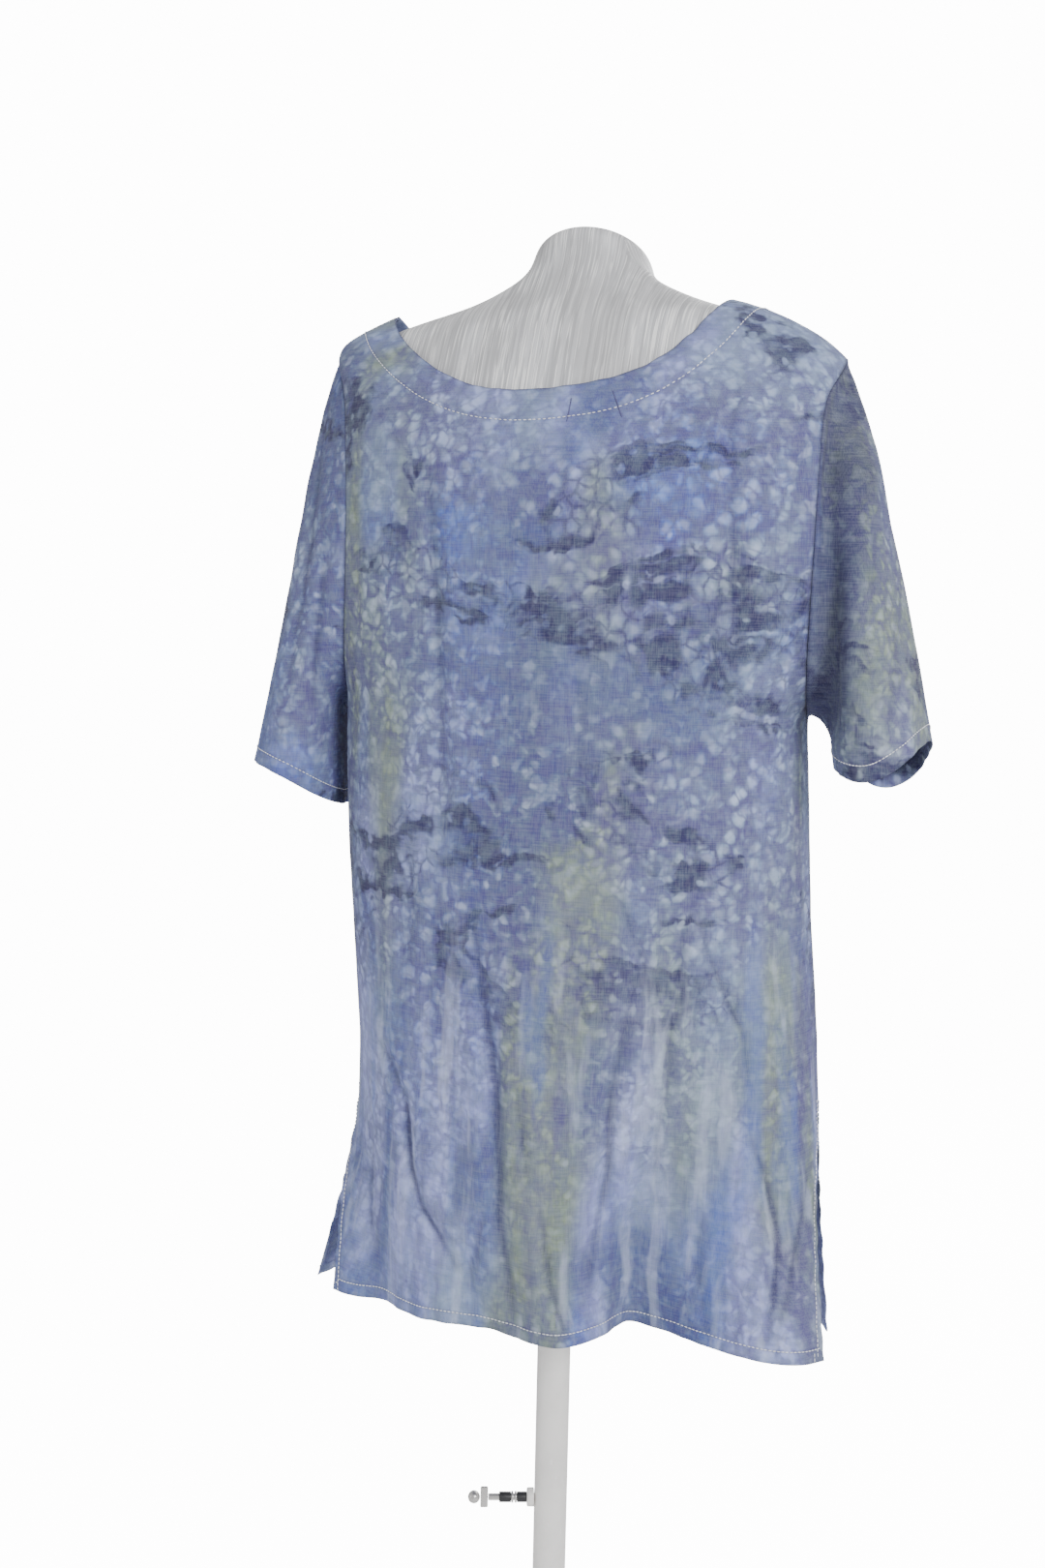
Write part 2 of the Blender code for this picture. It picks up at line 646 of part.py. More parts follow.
def tube_profile(bottom, top, inner, outer):
    """The closed outline of a tube's wall, its outer side first."""
    return [(outer, top), (outer, bottom), (inner, bottom), (inner, top)]


def make_stand(collection):
    """The round base, its flange, the pole and the collar at the pole's top."""
    edge = BASE_EDGE_ROUND
    turned(
        "base_plate",
        [
            (0.0, BASE_THICKNESS),
            (BASE_RADIUS - edge, BASE_THICKNESS),
            (BASE_RADIUS - edge / 3, BASE_THICKNESS - edge / 3),
            (BASE_RADIUS, BASE_THICKNESS - edge),
            (BASE_RADIUS, 0.0),
            (0.0, 0.0),
        ],
        "base_paint",
        collection,
        steps=BASE_STEPS,
    )
    foot = BASE_THICKNESS + SEAM_GAP
    bore = POLE_RADIUS + SEAM_GAP
    neck = bore + FLANGE_WALL
    turned(
        "base_flange",
        [
            (neck - FLANGE_CHAMFER, foot + FLANGE_HEIGHT),
            (neck, foot + FLANGE_HEIGHT - FLANGE_CHAMFER),
            (neck, foot + 2 * FLANGE_PLATE),
            (FLANGE_RADIUS, foot + FLANGE_PLATE),
            (FLANGE_RADIUS, foot),
            (bore, foot),
            (bore, foot + FLANGE_HEIGHT),
        ],
        "base_paint",
        collection,
        closed=True,
    )
    pole_outline = tube_profile(foot, POLE_TOP, POLE_BORE, POLE_RADIUS)
    turned("pole", pole_outline, "pole_paint", collection, closed=True)
    lip = POLE_TOP + SEAM_GAP
    collar_top = lip + COLLAR_LIP
    turned(
        "pole_collar",
        [
            (COLLAR_RADIUS - COLLAR_CHAMFER, collar_top),
            (COLLAR_RADIUS, collar_top - COLLAR_CHAMFER),
            (COLLAR_RADIUS, collar_top - COLLAR_HEIGHT),
            (bore, collar_top - COLLAR_HEIGHT),
            (bore, lip),
            (ROD_RADIUS + SEAM_GAP, lip),
            (ROD_RADIUS + SEAM_GAP, collar_top),
        ],
        "black_plastic",
        collection,
        closed=True,
    )


def make_rod(collection):
    """The steel rod that slides in the pole and carries the form."""
    rod_outline = tube_profile(ROD_BOTTOM, ROD_TOP, ROD_BORE, ROD_RADIUS)
    turned("rod", rod_outline, "rod_steel", collection, closed=True)


def lay_on_screw_axis(made):
    """Turns a piece made about Z so that Z runs out along the clamp screw's axis."""
    made.rotation_euler = (0.0, math.radians(90.0), math.radians(SCREW_TURN_DEG))
    made.location = (0.0, 0.0, SCREW_HEIGHT)
    return made


def make_clamp(collection):
    """The boss on the pole, and the screw in it: shaft, ringed grip, wing and ball end."""
    boss_start = POLE_RADIUS + SEAM_GAP
    boss_end = boss_start + BOSS_LENGTH
    bore = SHAFT_RADIUS + SEAM_GAP
    lay_on_screw_axis(
        turned(
            "screw_boss",
            [
                (BOSS_RADIUS - BOSS_CHAMFER, boss_end),
                (BOSS_RADIUS, boss_end - BOSS_CHAMFER),
                (BOSS_RADIUS, boss_start),
                (bore, boss_start),
                (bore, boss_end),
            ],
            "pole_paint",
            collection,
            steps=SCREW_STEPS,
            closed=True,
        )
    )
    grip_start = boss_end + SEAM_GAP
    grip_end = grip_start + GRIP_LENGTH
    tail = grip_end + SHAFT_TAIL
    lay_on_screw_axis(
        turned(
            "screw_shaft",
            [(0.0, tail), (SHAFT_RADIUS, tail), (SHAFT_RADIUS, boss_start), (0.0, boss_start)],
            "bright_chrome",
            collection,
            steps=SHAFT_STEPS,
        )
    )
    ring_middle = grip_start + GRIP_LENGTH * GRIP_RINGS_AT
    ring_starts = [ring_middle - GRIP_RING_SPACING / 2, ring_middle + GRIP_RING_SPACING / 2]
    before_rings = (grip_start, ring_starts[0] - SEAM_GAP)
    after_rings = (ring_starts[1] + GRIP_RING_WIDTH + SEAM_GAP, grip_end)
    for number, (low, high) in enumerate((before_rings, after_rings), 1):
        lay_on_screw_axis(
            turned(
                f"screw_grip_{number}",
                tube_profile(low, high, bore, GRIP_RADIUS),
                "black_plastic",
                collection,
                steps=SCREW_STEPS,
                closed=True,
            )
        )
    for number, start in enumerate(ring_starts, 1):
        lay_on_screw_axis(
            turned(
                f"screw_ring_{number}",
                tube_profile(start, start + GRIP_RING_WIDTH, bore, GRIP_RADIUS + GRIP_RING_PROUD),
                "bright_chrome",
                collection,
                steps=SCREW_STEPS,
                closed=True,
            )
        )
    bm = bmesh.new()
    bmesh.ops.create_cube(bm, size=1.0)
    bmesh.ops.scale(bm, vec=(WING_SPAN, WING_THICKNESS, WING_WIDTH), verts=bm.verts)
    bmesh.ops.translate(bm, vec=(0.0, 0.0, tail + SEAM_GAP + WING_WIDTH / 2), verts=bm.verts)
    wing = add_object("screw_wing", bm, "bright_chrome", collection, smooth=False)
    round_edges = wing.modifiers.new("round", "BEVEL")
    round_edges.width = WING_ROUND
    round_edges.segments = 2
    lay_on_screw_axis(wing)
    bm = bmesh.new()
    bmesh.ops.create_uvsphere(bm, u_segments=16, v_segments=10, radius=BALL_RADIUS)
    ball_middle = tail + WING_WIDTH + 2 * SEAM_GAP + BALL_RADIUS
    bmesh.ops.translate(bm, vec=(0.0, 0.0, ball_middle), verts=bm.verts)
    lay_on_screw_axis(add_object("screw_ball", bm, "bright_chrome", collection))


def make_form(collection):
    """The moulded shell, the board in its bottom and the socket that takes the rod."""
    shell = add_object("dress_form", form_skin(), "silver_shell", collection)
    thicken(shell, SHELL_WALL, outward=False)
    bottom = FORM_BOTTOM + BOARD_RECESS
    ring = form_ring(FORM_SECTIONS[0], inset=BOARD_INSET)
    bm = bmesh.new()
    rim = [bm.verts.new((point.x, point.y, bottom)) for point in ring]
    bore = SOCKET_RADIUS + SEAM_GAP
    hole = []
    for i in range(FORM_COLUMNS):
        angle = math.tau * i / FORM_COLUMNS
        hole.append(bm.verts.new((bore * math.sin(angle), -bore * math.cos(angle), bottom)))
    for i in range(FORM_COLUMNS):
        j = (i + 1) % FORM_COLUMNS
        bm.faces.new((rim[i], rim[j], hole[j], hole[i]))
    board = add_object("form_board", bm, "form_board", collection, smooth=False)
    thicken(board, BOARD_THICKNESS, outward=True)
    cap = ROD_TOP + SEAM_GAP
    turned(
        "rod_socket",
        [
            (0.0, cap + SOCKET_CAP),
            (SOCKET_RADIUS, cap + SOCKET_CAP),
            (SOCKET_RADIUS, bottom - SOCKET_DROP),
            (ROD_RADIUS + SEAM_GAP, bottom - SOCKET_DROP),
            (ROD_RADIUS + SEAM_GAP, cap),
            (0.0, cap),
        ],
        "rod_steel",
        collection,
        steps=FORM_COLUMNS,
    )


def join_seams(back, front):
    """Brings the panels' edges together along the shoulder and side seams, SEAM_GAP apart."""
    for top, bottom in (SHOULDER_SEAM, SIDE_SEAM):
        for row in range(row_of(top), row_of(bottom) + 1):
            for edge in (0, -1):
                middle = (back[row][edge] + front[row][edge]) / 2
                back[row][edge] = middle - Vector((0.0, SEAM_GAP / 2, 0.0))
                front[row][edge] = middle + Vector((0.0, SEAM_GAP / 2, 0.0))


def make_tunic(form, collection):
    """The tunic's panels, facing and sleeves, laid over the form."""
    back = panel_rows(BACK_LEVELS, BACK_NECKLINE_RISE, BACK_FOLDS)
    front = panel_rows(FRONT_LEVELS, FRONT_NECKLINE_RISE, FRONT_FOLDS)
    for _ in range(DRAPE_ROUNDS):
        for rows in (back, front):
            relax(rows[FACING_ROWS:])
            settle(rows[: FACING_ROWS + 2], form, FACING_CLEARANCE + SEAM_GAP + CLOTH_WALL)
            settle(rows, form, FORM_CLEARANCE)
        join_seams(back, front)
    ways = {"back": outward_ways(back, -1), "front": outward_ways(front, 1)}
    sleeves = {}
    for side, edge, cuff, sign in (("left", 0, CUFF_LEFT, -1), ("right", -1, CUFF_RIGHT, 1)):
        rows = sleeve_rows(back, front, edge, cuff, form)
        sleeve_ways = outward_ways(rows, sign, wrap=True)
        share_seam_ways(ways["back"], ways["front"], sleeve_ways[0], edge)
        part_from_seam(rows, sleeve_ways[0])
        sleeves[side] = (rows, sleeve_ways)
    cloth_wall("tunic_back", back, ways["back"], "dyed_cloth", collection)
    cloth_wall("tunic_front", front, ways["front"], "dyed_cloth", collection)
    for side, (rows, sleeve_ways) in sleeves.items():
        cloth_wall(f"sleeve_{side}", rows, sleeve_ways, "dyed_cloth", collection, wrap=True)
    make_facing(back, front, ways["back"], ways["front"], collection)


def share_seam_ways(back_ways, front_ways, sleeve_line, edge):
    """Mitres the walls at one side's shoulder seam, armhole and side seam."""
    top, bottom = (row_of(name) for name in ARMHOLE_SEAM)
    seams = list(range(top)) + list(range(bottom + 1, row_of(SIDE_SEAM[1]) + 1))
    for row in seams:
        share_way((back_ways[row], edge), (front_ways[row], edge))
    for i, (panel_ways, row) in enumerate(armhole_places(back_ways, front_ways)):
        if row in (top, bottom):
            share_way((back_ways[row], edge), (front_ways[row], edge))
            share_way((back_ways[row], edge), (sleeve_line, i))
            front_ways[row][edge] = sleeve_line[i].copy()
        else:
            share_way((panel_ways[row], edge), (sleeve_line, i))


def main():
    clear_scene()
    collection = bpy.data.collections.new("tunic_on_dress_form")
    bpy.context.scene.collection.children.link(collection)
    make_stand(collection)
    make_rod(collection)
    make_clamp(collection)
    make_form(collection)
    skin = form_skin()
    form = BVHTree.FromBMesh(skin)
    skin.free()
    make_tunic(form, collection)


main()
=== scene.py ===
# %% [markdown]
# # A hand-dyed tunic t-shirt on its dress form
#
# The real object is a wide cotton tunic with elbow sleeves, a boat neckline and slit sides, worn by a
# silver display torso on a pole.  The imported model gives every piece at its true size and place.  This
# lesson dresses that model: the cloth gets its smooth surface, its creases and its stitches, the torso
# its brushed skin, and each surface a material made only from nodes.

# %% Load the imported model
import json
import math

import bmesh
import bpy
from mathutils import Matrix, Vector, noise
from mathutils.bvhtree import BVHTree
from mathutils.kdtree import KDTree


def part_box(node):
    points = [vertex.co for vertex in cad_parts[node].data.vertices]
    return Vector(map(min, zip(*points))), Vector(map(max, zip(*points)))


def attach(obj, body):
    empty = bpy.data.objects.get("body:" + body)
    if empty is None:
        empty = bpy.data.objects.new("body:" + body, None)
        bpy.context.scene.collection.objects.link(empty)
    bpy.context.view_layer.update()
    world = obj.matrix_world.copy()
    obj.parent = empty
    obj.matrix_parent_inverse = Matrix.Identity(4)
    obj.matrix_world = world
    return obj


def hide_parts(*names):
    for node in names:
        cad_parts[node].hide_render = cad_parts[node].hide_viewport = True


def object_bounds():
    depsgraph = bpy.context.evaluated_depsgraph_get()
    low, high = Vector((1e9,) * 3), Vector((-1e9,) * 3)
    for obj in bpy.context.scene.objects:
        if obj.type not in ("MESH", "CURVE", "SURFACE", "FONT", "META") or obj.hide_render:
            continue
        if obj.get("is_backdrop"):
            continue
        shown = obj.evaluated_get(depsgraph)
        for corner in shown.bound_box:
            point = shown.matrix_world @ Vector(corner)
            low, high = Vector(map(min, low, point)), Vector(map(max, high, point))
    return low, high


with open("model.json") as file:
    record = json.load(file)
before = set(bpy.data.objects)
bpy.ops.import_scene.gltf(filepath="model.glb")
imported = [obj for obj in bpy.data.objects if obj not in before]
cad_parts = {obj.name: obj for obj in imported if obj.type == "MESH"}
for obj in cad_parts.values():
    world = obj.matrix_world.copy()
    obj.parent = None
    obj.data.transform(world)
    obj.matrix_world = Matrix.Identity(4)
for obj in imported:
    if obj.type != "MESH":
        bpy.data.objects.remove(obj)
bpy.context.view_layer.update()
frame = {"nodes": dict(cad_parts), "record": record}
NODES = frame["nodes"]

# %% [markdown]
# ## The camera
#
# The picture was taken from behind the garment, a little to its right, with the lens slightly above the
# middle of the form and tipped down.  A camera could be aimed with a Track To constraint, but its small
# roll is easier to say as three axes, so they are worked out from the angles and put in its matrix.

# %% Place the camera
AZIMUTH = math.radians(18.0)
PITCH = math.radians(6.5)
ROLL = math.radians(1.16)
CAMERA_DISTANCE = 1.37
CAMERA_HEIGHT = 1.25
CAMERA_SIDESTEP = -0.039
FOCAL_PIXELS = 1631.0
IMAGE_HEIGHT = 1620.0
SENSOR_MM = 36.0

aside = Vector((math.cos(AZIMUTH), math.sin(AZIMUTH), 0.0))
ahead = Vector((-math.sin(AZIMUTH), math.cos(AZIMUTH), 0.0))
upward = Vector((0.0, 0.0, 1.0))
look = ahead * math.cos(PITCH) - upward * math.sin(PITCH)
crown = upward * math.cos(PITCH) + ahead * math.sin(PITCH)
right = aside * math.cos(ROLL) + crown * math.sin(ROLL)
top = crown * math.cos(ROLL) - aside * math.sin(ROLL)
eye = -ahead * CAMERA_DISTANCE + upward * CAMERA_HEIGHT + aside * CAMERA_SIDESTEP

camera_data = bpy.data.cameras.new("camera")
camera_data.sensor_fit = "VERTICAL"
camera_data.sensor_width = SENSOR_MM
camera_data.sensor_height = SENSOR_MM
camera_data.lens = FOCAL_PIXELS * SENSOR_MM / IMAGE_HEIGHT
camera = bpy.data.objects.new("camera", camera_data)
camera.matrix_world = Matrix.Translation(eye) @ Matrix((right, top, -look)).transposed().to_4x4()
bpy.context.scene.collection.objects.link(camera)
bpy.context.scene.camera = camera
print("the lens is", round(camera_data.lens, 2), "mm")

# %% [markdown]
# ## The floor and the light
#
# A studio shows cloth in wide soft light.  One large lamp stands behind the camera to the right and
# above it, a weaker one fills from the left, a third lights the far side, and a nearly white world
# closes the rest, so that folds keep soft shadows on their left.

# %% Build the floor, the lamps and the world
FLOOR_SIZE = 40.0
FLOOR_GAP = 0.0005
FLOOR_COLOUR = (0.90, 0.90, 0.90, 1.0)
WHITE = (1.0, 1.0, 1.0, 1.0)
FORM_MIDDLE = (0.0, 0.0, 1.1)
WORLD_STRENGTH = 0.74
BACKDROP_STRENGTH = 14.0
FLOOR_GLOW = 13.2


def linear(red, green, blue):
    """A colour as a screen shows it, 0 to 255, made the linear one that a shader takes."""
    parts = [channel / 255.0 for channel in (red, green, blue)]
    return tuple(p / 12.92 if p <= 0.04045 else ((p + 0.055) / 1.055) ** 2.4 for p in parts) + (1.0,)


def put_in_scene(name, made):
    """Makes the finished bmesh an object of this name."""
    mesh = bpy.data.meshes.new(name)
    made.to_mesh(mesh)
    made.free()
    piece = bpy.data.objects.new(name, mesh)
    bpy.context.scene.collection.objects.link(piece)
    return piece


def add_lamp(name, place, aim, size, power):
    """An area lamp at a place, turned towards the point it lights."""
    data = bpy.data.lights.new(name, "AREA")
    data.shape = "SQUARE"
    data.size = size
    data.energy = power
    lamp = bpy.data.objects.new(name, data)
    lamp.location = place
    lamp.rotation_euler = (Vector(aim) - Vector(place)).to_track_quat("-Z", "Y").to_euler()
    bpy.context.scene.collection.objects.link(lamp)


floor_mesh = bmesh.new()
bmesh.ops.create_grid(floor_mesh, x_segments=1, y_segments=1, size=FLOOR_SIZE / 2)
floor = put_in_scene("studio_floor", floor_mesh)
floor.location.z = -FLOOR_GAP
floor_paint = bpy.data.materials.new("floor_paper")
floor_paint.use_nodes = True
paper = floor_paint.node_tree.nodes["Principled BSDF"].inputs
paper["Base Color"].default_value = FLOOR_COLOUR
paper["Roughness"].default_value = 0.9
paper["Emission Color"].default_value = WHITE
floor.data.materials.append(floor_paint)
floor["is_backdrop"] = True

add_lamp("key_lamp", (2.1, -2.2, 2.5), FORM_MIDDLE, 0.8, 90.0)
add_lamp("fill_lamp", (-2.4, -1.6, 1.2), FORM_MIDDLE, 1.6, 9.0)
add_lamp("far_lamp", (0.6, 2.6, 2.0), FORM_MIDDLE, 2.0, 32.0)

world = bpy.context.scene.world or bpy.data.worlds.new("studio")
bpy.context.scene.world = world
world.use_nodes = True
sky = world.node_tree.nodes["Background"].inputs
sky["Color"].default_value = WHITE


def brighter_when_seen(tree, socket, lights, seen):
    """What the lens sees of the backdrop is bright paper; what lights the object stays soft."""
    path = tree.nodes.new("ShaderNodeLightPath")
    share = tree.nodes.new("ShaderNodeMapRange")
    share.inputs["To Min"].default_value = lights
    share.inputs["To Max"].default_value = seen
    tree.links.new(path.outputs["Is Camera Ray"], share.inputs["Value"])
    tree.links.new(share.outputs["Result"], socket)


brighter_when_seen(world.node_tree, sky["Strength"], WORLD_STRENGTH, BACKDROP_STRENGTH)
brighter_when_seen(floor_paint.node_tree, paper["Emission Strength"], 0.0, FLOOR_GLOW)

# %% [markdown]
# ## Writing materials in short lines
#
# A node tree written out socket by socket is long.  This small helper keeps one tree and adds nodes to
# it, so that a material reads like its recipe: where the pattern lies, the noises that make it, the
# colours that it mixes, and the bump of its surface.

# %% A helper for node trees


class Recipe:
    """One material in the making: every method adds a node and returns the socket that it gives."""

    def __init__(self, name):
        self.material = bpy.data.materials.new(name)
        self.material.use_nodes = True
        self.tree = self.material.node_tree
        self.shader = self.tree.nodes["Principled BSDF"]
        coordinates = self.tree.nodes.new("ShaderNodeTexCoord")
        self.place = coordinates.outputs["Object"]
        self.colour = None

    def link(self, value, socket):
        """Joins a socket, or sets a plain value."""
        if isinstance(value, bpy.types.NodeSocket):
            self.tree.links.new(value, socket)
        else:
            socket.default_value = value

    def moved(self, shift=(0, 0, 0), scale=(1, 1, 1), turn=(0, 0, 0), place=None):
        """The pattern's coordinates, shifted, turned and scaled."""
        node = self.tree.nodes.new("ShaderNodeMapping")
        self.link(place or self.place, node.inputs["Vector"])
        node.inputs["Location"].default_value = shift
        node.inputs["Rotation"].default_value = turn
        node.inputs["Scale"].default_value = scale
        return node.outputs["Vector"]

    def noise(self, place, scale, detail=2.0, roughness=0.5, distortion=0.0):
        node = self.tree.nodes.new("ShaderNodeTexNoise")
        self.link(place, node.inputs["Vector"])
        node.inputs["Scale"].default_value = scale
        node.inputs["Detail"].default_value = detail
        node.inputs["Roughness"].default_value = roughness
        node.inputs["Distortion"].default_value = distortion
        return node.outputs["Fac"]

    def cells(self, place, scale, feature="F1"):
        """Distance to the nearest of many scattered points."""
        node = self.tree.nodes.new("ShaderNodeTexVoronoi")
        node.feature = feature
        self.link(place, node.inputs["Vector"])
        node.inputs["Scale"].default_value = scale
        return node.outputs["Distance"]

    def ruffled(self, place, scale, amount):
        """The place, pushed about by a noise, so that what is drawn there has ragged outlines."""
        node = self.tree.nodes.new("ShaderNodeTexNoise")
        self.link(place, node.inputs["Vector"])
        node.inputs["Scale"].default_value = scale
        node.inputs["Detail"].default_value = 2.0
        push = self.tree.nodes.new("ShaderNodeVectorMath")
        push.operation = "MULTIPLY_ADD"
        self.tree.links.new(node.outputs["Color"], push.inputs[0])
        push.inputs[1].default_value = (amount, amount, amount)
        self.link(place, push.inputs[2])
        return push.outputs["Vector"]

    def range(self, value, low, high, to_low=0.0, to_high=1.0):
        """The value from low to high, eased to run from one end to the other."""
        node = self.tree.nodes.new("ShaderNodeMapRange")
        node.interpolation_type = "SMOOTHSTEP"
        self.link(value, node.inputs["Value"])
        node.inputs["From Min"].default_value = low
        node.inputs["From Max"].default_value = high
        node.inputs["To Min"].default_value = to_low
        node.inputs["To Max"].default_value = to_high
        return node.outputs["Result"]

    def sum(self, kind, first, second):
        """Arithmetic on two values: ADD, MULTIPLY, SUBTRACT, MAXIMUM and the like."""
        node = self.tree.nodes.new("ShaderNodeMath")
        node.operation = kind
        self.link(first, node.inputs[0])
        self.link(second, node.inputs[1])
        return node.outputs["Value"]

    def times(self, first, second):
        """One value times another."""
        return self.sum("MULTIPLY", first, second)

    def mix(self, share, first, second):
        """Colour that goes from the first to the second as the share goes from 0 to 1."""
        node = self.tree.nodes.new("ShaderNodeMix")
        node.data_type = "RGBA"
        self.link(share, node.inputs["Factor"])
        self.link(first, node.inputs["A"])
        self.link(second, node.inputs["B"])
        return node.outputs["Result"]

    def lay(self, share, over):
        """Lays a colour over what the recipe has so far; a share of 1 covers it."""
        self.colour = self.mix(share, self.colour, over)

    def axis(self, name, place=None):
        """One coordinate of the pattern's place: X, Y or Z."""
        node = self.tree.nodes.new("ShaderNodeSeparateXYZ")
        self.link(place or self.place, node.inputs["Vector"])
        return node.outputs[name]

    def attribute(self, name):
        """A value stored on the mesh's points."""
        node = self.tree.nodes.new("ShaderNodeAttribute")
        node.attribute_name = name
        return node.outputs["Fac"]

    def bump(self, height, distance, strength=1.0):
        """Small relief; the distance is the height in metres of a value of 1."""
        node = self.tree.nodes.new("ShaderNodeBump")
        node.inputs["Strength"].default_value = strength
        node.inputs["Distance"].default_value = distance
        self.link(height, node.inputs["Height"])
        self.link(node.outputs["Normal"], self.shader.inputs["Normal"])

    def finish(self, roughness, **sockets):
        """Joins the colour and roughness, and sets the other sockets of the shader."""
        self.link(self.colour, self.shader.inputs["Base Color"])
        self.link(roughness, self.shader.inputs["Roughness"])
        for name, value in sockets.items():
            self.shader.inputs[name.replace("_", " ")].default_value = value
        return self.material


# %% [markdown]
# ## The dyed cloth
#
# The real cloth was dyed by hand, and its own picture of stains belongs to its maker, so this is a
# plain mottling of the same colours and sizes, laid out anew.  Wide soft clouds of slate, lavender and
# grey-blue come first, then sage patches, then dark bands where pale bubbles crowd together.  Below the
# waist the dye has run, so the same noises are stretched upright.  Each piece was cut from another
# place of the cloth: its shift moves the pattern, and the colours break at the seams.

# %% Mix the dye
SLATE = linear(92, 110, 172)
DEEP_SLATE = linear(62, 76, 130)
LAVENDER = linear(158, 168, 228)
GREY_BLUE = linear(132, 152, 184)
DEEP_BLUE = linear(66, 94, 186)
STREAM_BLUE = linear(80, 104, 178)
SKY_BLUE = linear(122, 162, 236)
INDIGO = linear(46, 44, 82)
VIOLET = linear(80, 76, 126)
SAGE = linear(122, 136, 92)
PALE = linear(208, 218, 246)
GREY_GREEN = linear(118, 138, 150)
THREAD = linear(248, 250, 255)
RUN_TOP = 1.06
RUN_BOTTOM = 0.88
THREADS_PER_M = 1500.0
THREAD_RUN = 60.0
WEAVE_HEIGHT = 0.0006
FAR_OFF = 0.05


def dye(name, shift, inside=False):
    """The dyed cloth of one piece, with painted shade in its creases, sunk seams, stitch grooves and neck
    edge; inside is the reverse, laid darker all over.
    """
    cloth = Recipe(name)
    lies = cloth.moved(shift)
    runs = cloth.moved(shift, scale=(1.0, 1.0, 0.22))
    ragged = cloth.ruffled(lies, 48.0, 0.022)
    height = cloth.axis("Z")
    low_down = cloth.range(height, RUN_BOTTOM, RUN_TOP, 1.0, 0.0)
    high_up = cloth.range(height, RUN_BOTTOM, RUN_TOP)

    # wide clouds above, upright streams below
    clouds = cloth.noise(lies, 6.5, 4.0, 0.6, 0.6)
    streams = cloth.noise(runs, 14.0, 4.0, 0.6, 0.4)
    wide = cloth.mix(cloth.range(clouds, 0.40, 0.60), SLATE, LAVENDER)
    run = cloth.mix(cloth.range(streams, 0.40, 0.60), SLATE, LAVENDER)
    cloth.colour = cloth.mix(low_down, wide, run)
    veil = cloth.noise(cloth.moved((3.1, 1.7, 0.4), place=runs), 8.0, 3.0, 0.55)
    cloth.lay(cloth.range(veil, 0.47, 0.60, 0.0, 0.85), GREY_BLUE)
    bright = cloth.noise(cloth.moved((1.3, 8.1, 2.6), place=lies), 4.6, 3.0, 0.6)
    cloth.lay(cloth.range(bright, 0.53, 0.66, 0.0, 0.85), DEEP_BLUE)
    cloth.lay(cloth.range(bright, 0.63, 0.72, 0.0, 0.7), SKY_BLUE)
    sage = cloth.noise(cloth.moved((7.7, 0.3, 5.2), place=runs), 5.4, 3.5, 0.55, 0.5)
    cloth.lay(cloth.range(sage, 0.495, 0.60, 0.0, 0.82), SAGE)
    violet = cloth.noise(cloth.moved((5.5, 4.1, 1.2), place=runs), 9.5, 4.0, 0.62, 0.5)
    cloth.lay(cloth.range(violet, 0.56, 0.68, 0.0, 0.80), VIOLET)

    # wide deep pools of slate
    pools = cloth.noise(cloth.moved((6.6, 2.2, 7.1), (1.0, 1.0, 0.7), place=ragged), 6.0, 3.0, 0.55, 0.4)
    cloth.lay(cloth.range(pools, 0.51, 0.62, 0.0, 0.80), DEEP_SLATE)

    # pebbles that crystals of dye leave: soft light lumps close together, with darker gaps
    where = cloth.noise(cloth.moved((9.0, 3.3, 4.4), place=lies), 9.0, 3.0, 0.55)
    much = cloth.range(where, 0.36, 0.60, 0.45, 1.0)
    much = cloth.times(much, cloth.range(height, 0.78, 1.04, 0.65, 1.0))
    large = cloth.cells(ragged, 64.0)
    small = cloth.cells(cloth.moved((8.0, 5.0, 3.0), place=ragged), 112.0)
    grain = cloth.noise(ragged, 100.0, 2.0, 0.5)
    lumps = cloth.times(cloth.range(large, 0.12, 0.56, 1.0, 0.0), 0.40)
    lumps = cloth.sum("ADD", lumps, cloth.times(cloth.range(small, 0.12, 0.56, 1.0, 0.0), 0.30))
    lumps = cloth.sum("ADD", lumps, cloth.times(grain, 0.60))
    pale = cloth.times(cloth.range(lumps, 0.40, 1.00, 0.0, 0.42), much)
    cloth.lay(pale, PALE)
    deep = cloth.times(cloth.range(lumps, 0.26, 0.60, 0.76, 0.0), much)
    cloth.lay(deep, VIOLET)
    eyes = cloth.cells(cloth.moved((1.0, 7.0, 6.0), place=ragged), 58.0)
    cloth.lay(cloth.times(cloth.range(eyes, 0.06, 0.20, 0.55, 0.0), much), VIOLET)

    # crowds of bubbles: pale hearts, each with a thin curled outline
    crowd = cloth.noise(cloth.moved((3.7, 5.9, 8.2), place=lies), 7.5, 3.0, 0.6)
    crowded = cloth.times(cloth.range(crowd, 0.50, 0.60), high_up)
    round_place = cloth.moved((4.0, 2.0, 9.0), place=cloth.ruffled(lies, 62.0, 0.012))
    hearts = cloth.cells(round_place, 74.0)
    outlines = cloth.cells(round_place, 74.0, "DISTANCE_TO_EDGE")
    curls = cloth.range(outlines, 0.02, 0.15, 1.0, 0.0)
    net = cloth.times(cloth.times(curls, 0.42), much)
    cloth.lay(net, VIOLET)
    gaps = cloth.sum("MAXIMUM", cloth.range(hearts, 0.34, 0.58, 0.0, 0.62), cloth.times(curls, 0.26))
    cloth.lay(cloth.times(crowded, gaps), VIOLET)
    heart = cloth.times(crowded, cloth.range(hearts, 0.12, 0.42, 0.24, 0.0))
    cloth.lay(heart, PALE)

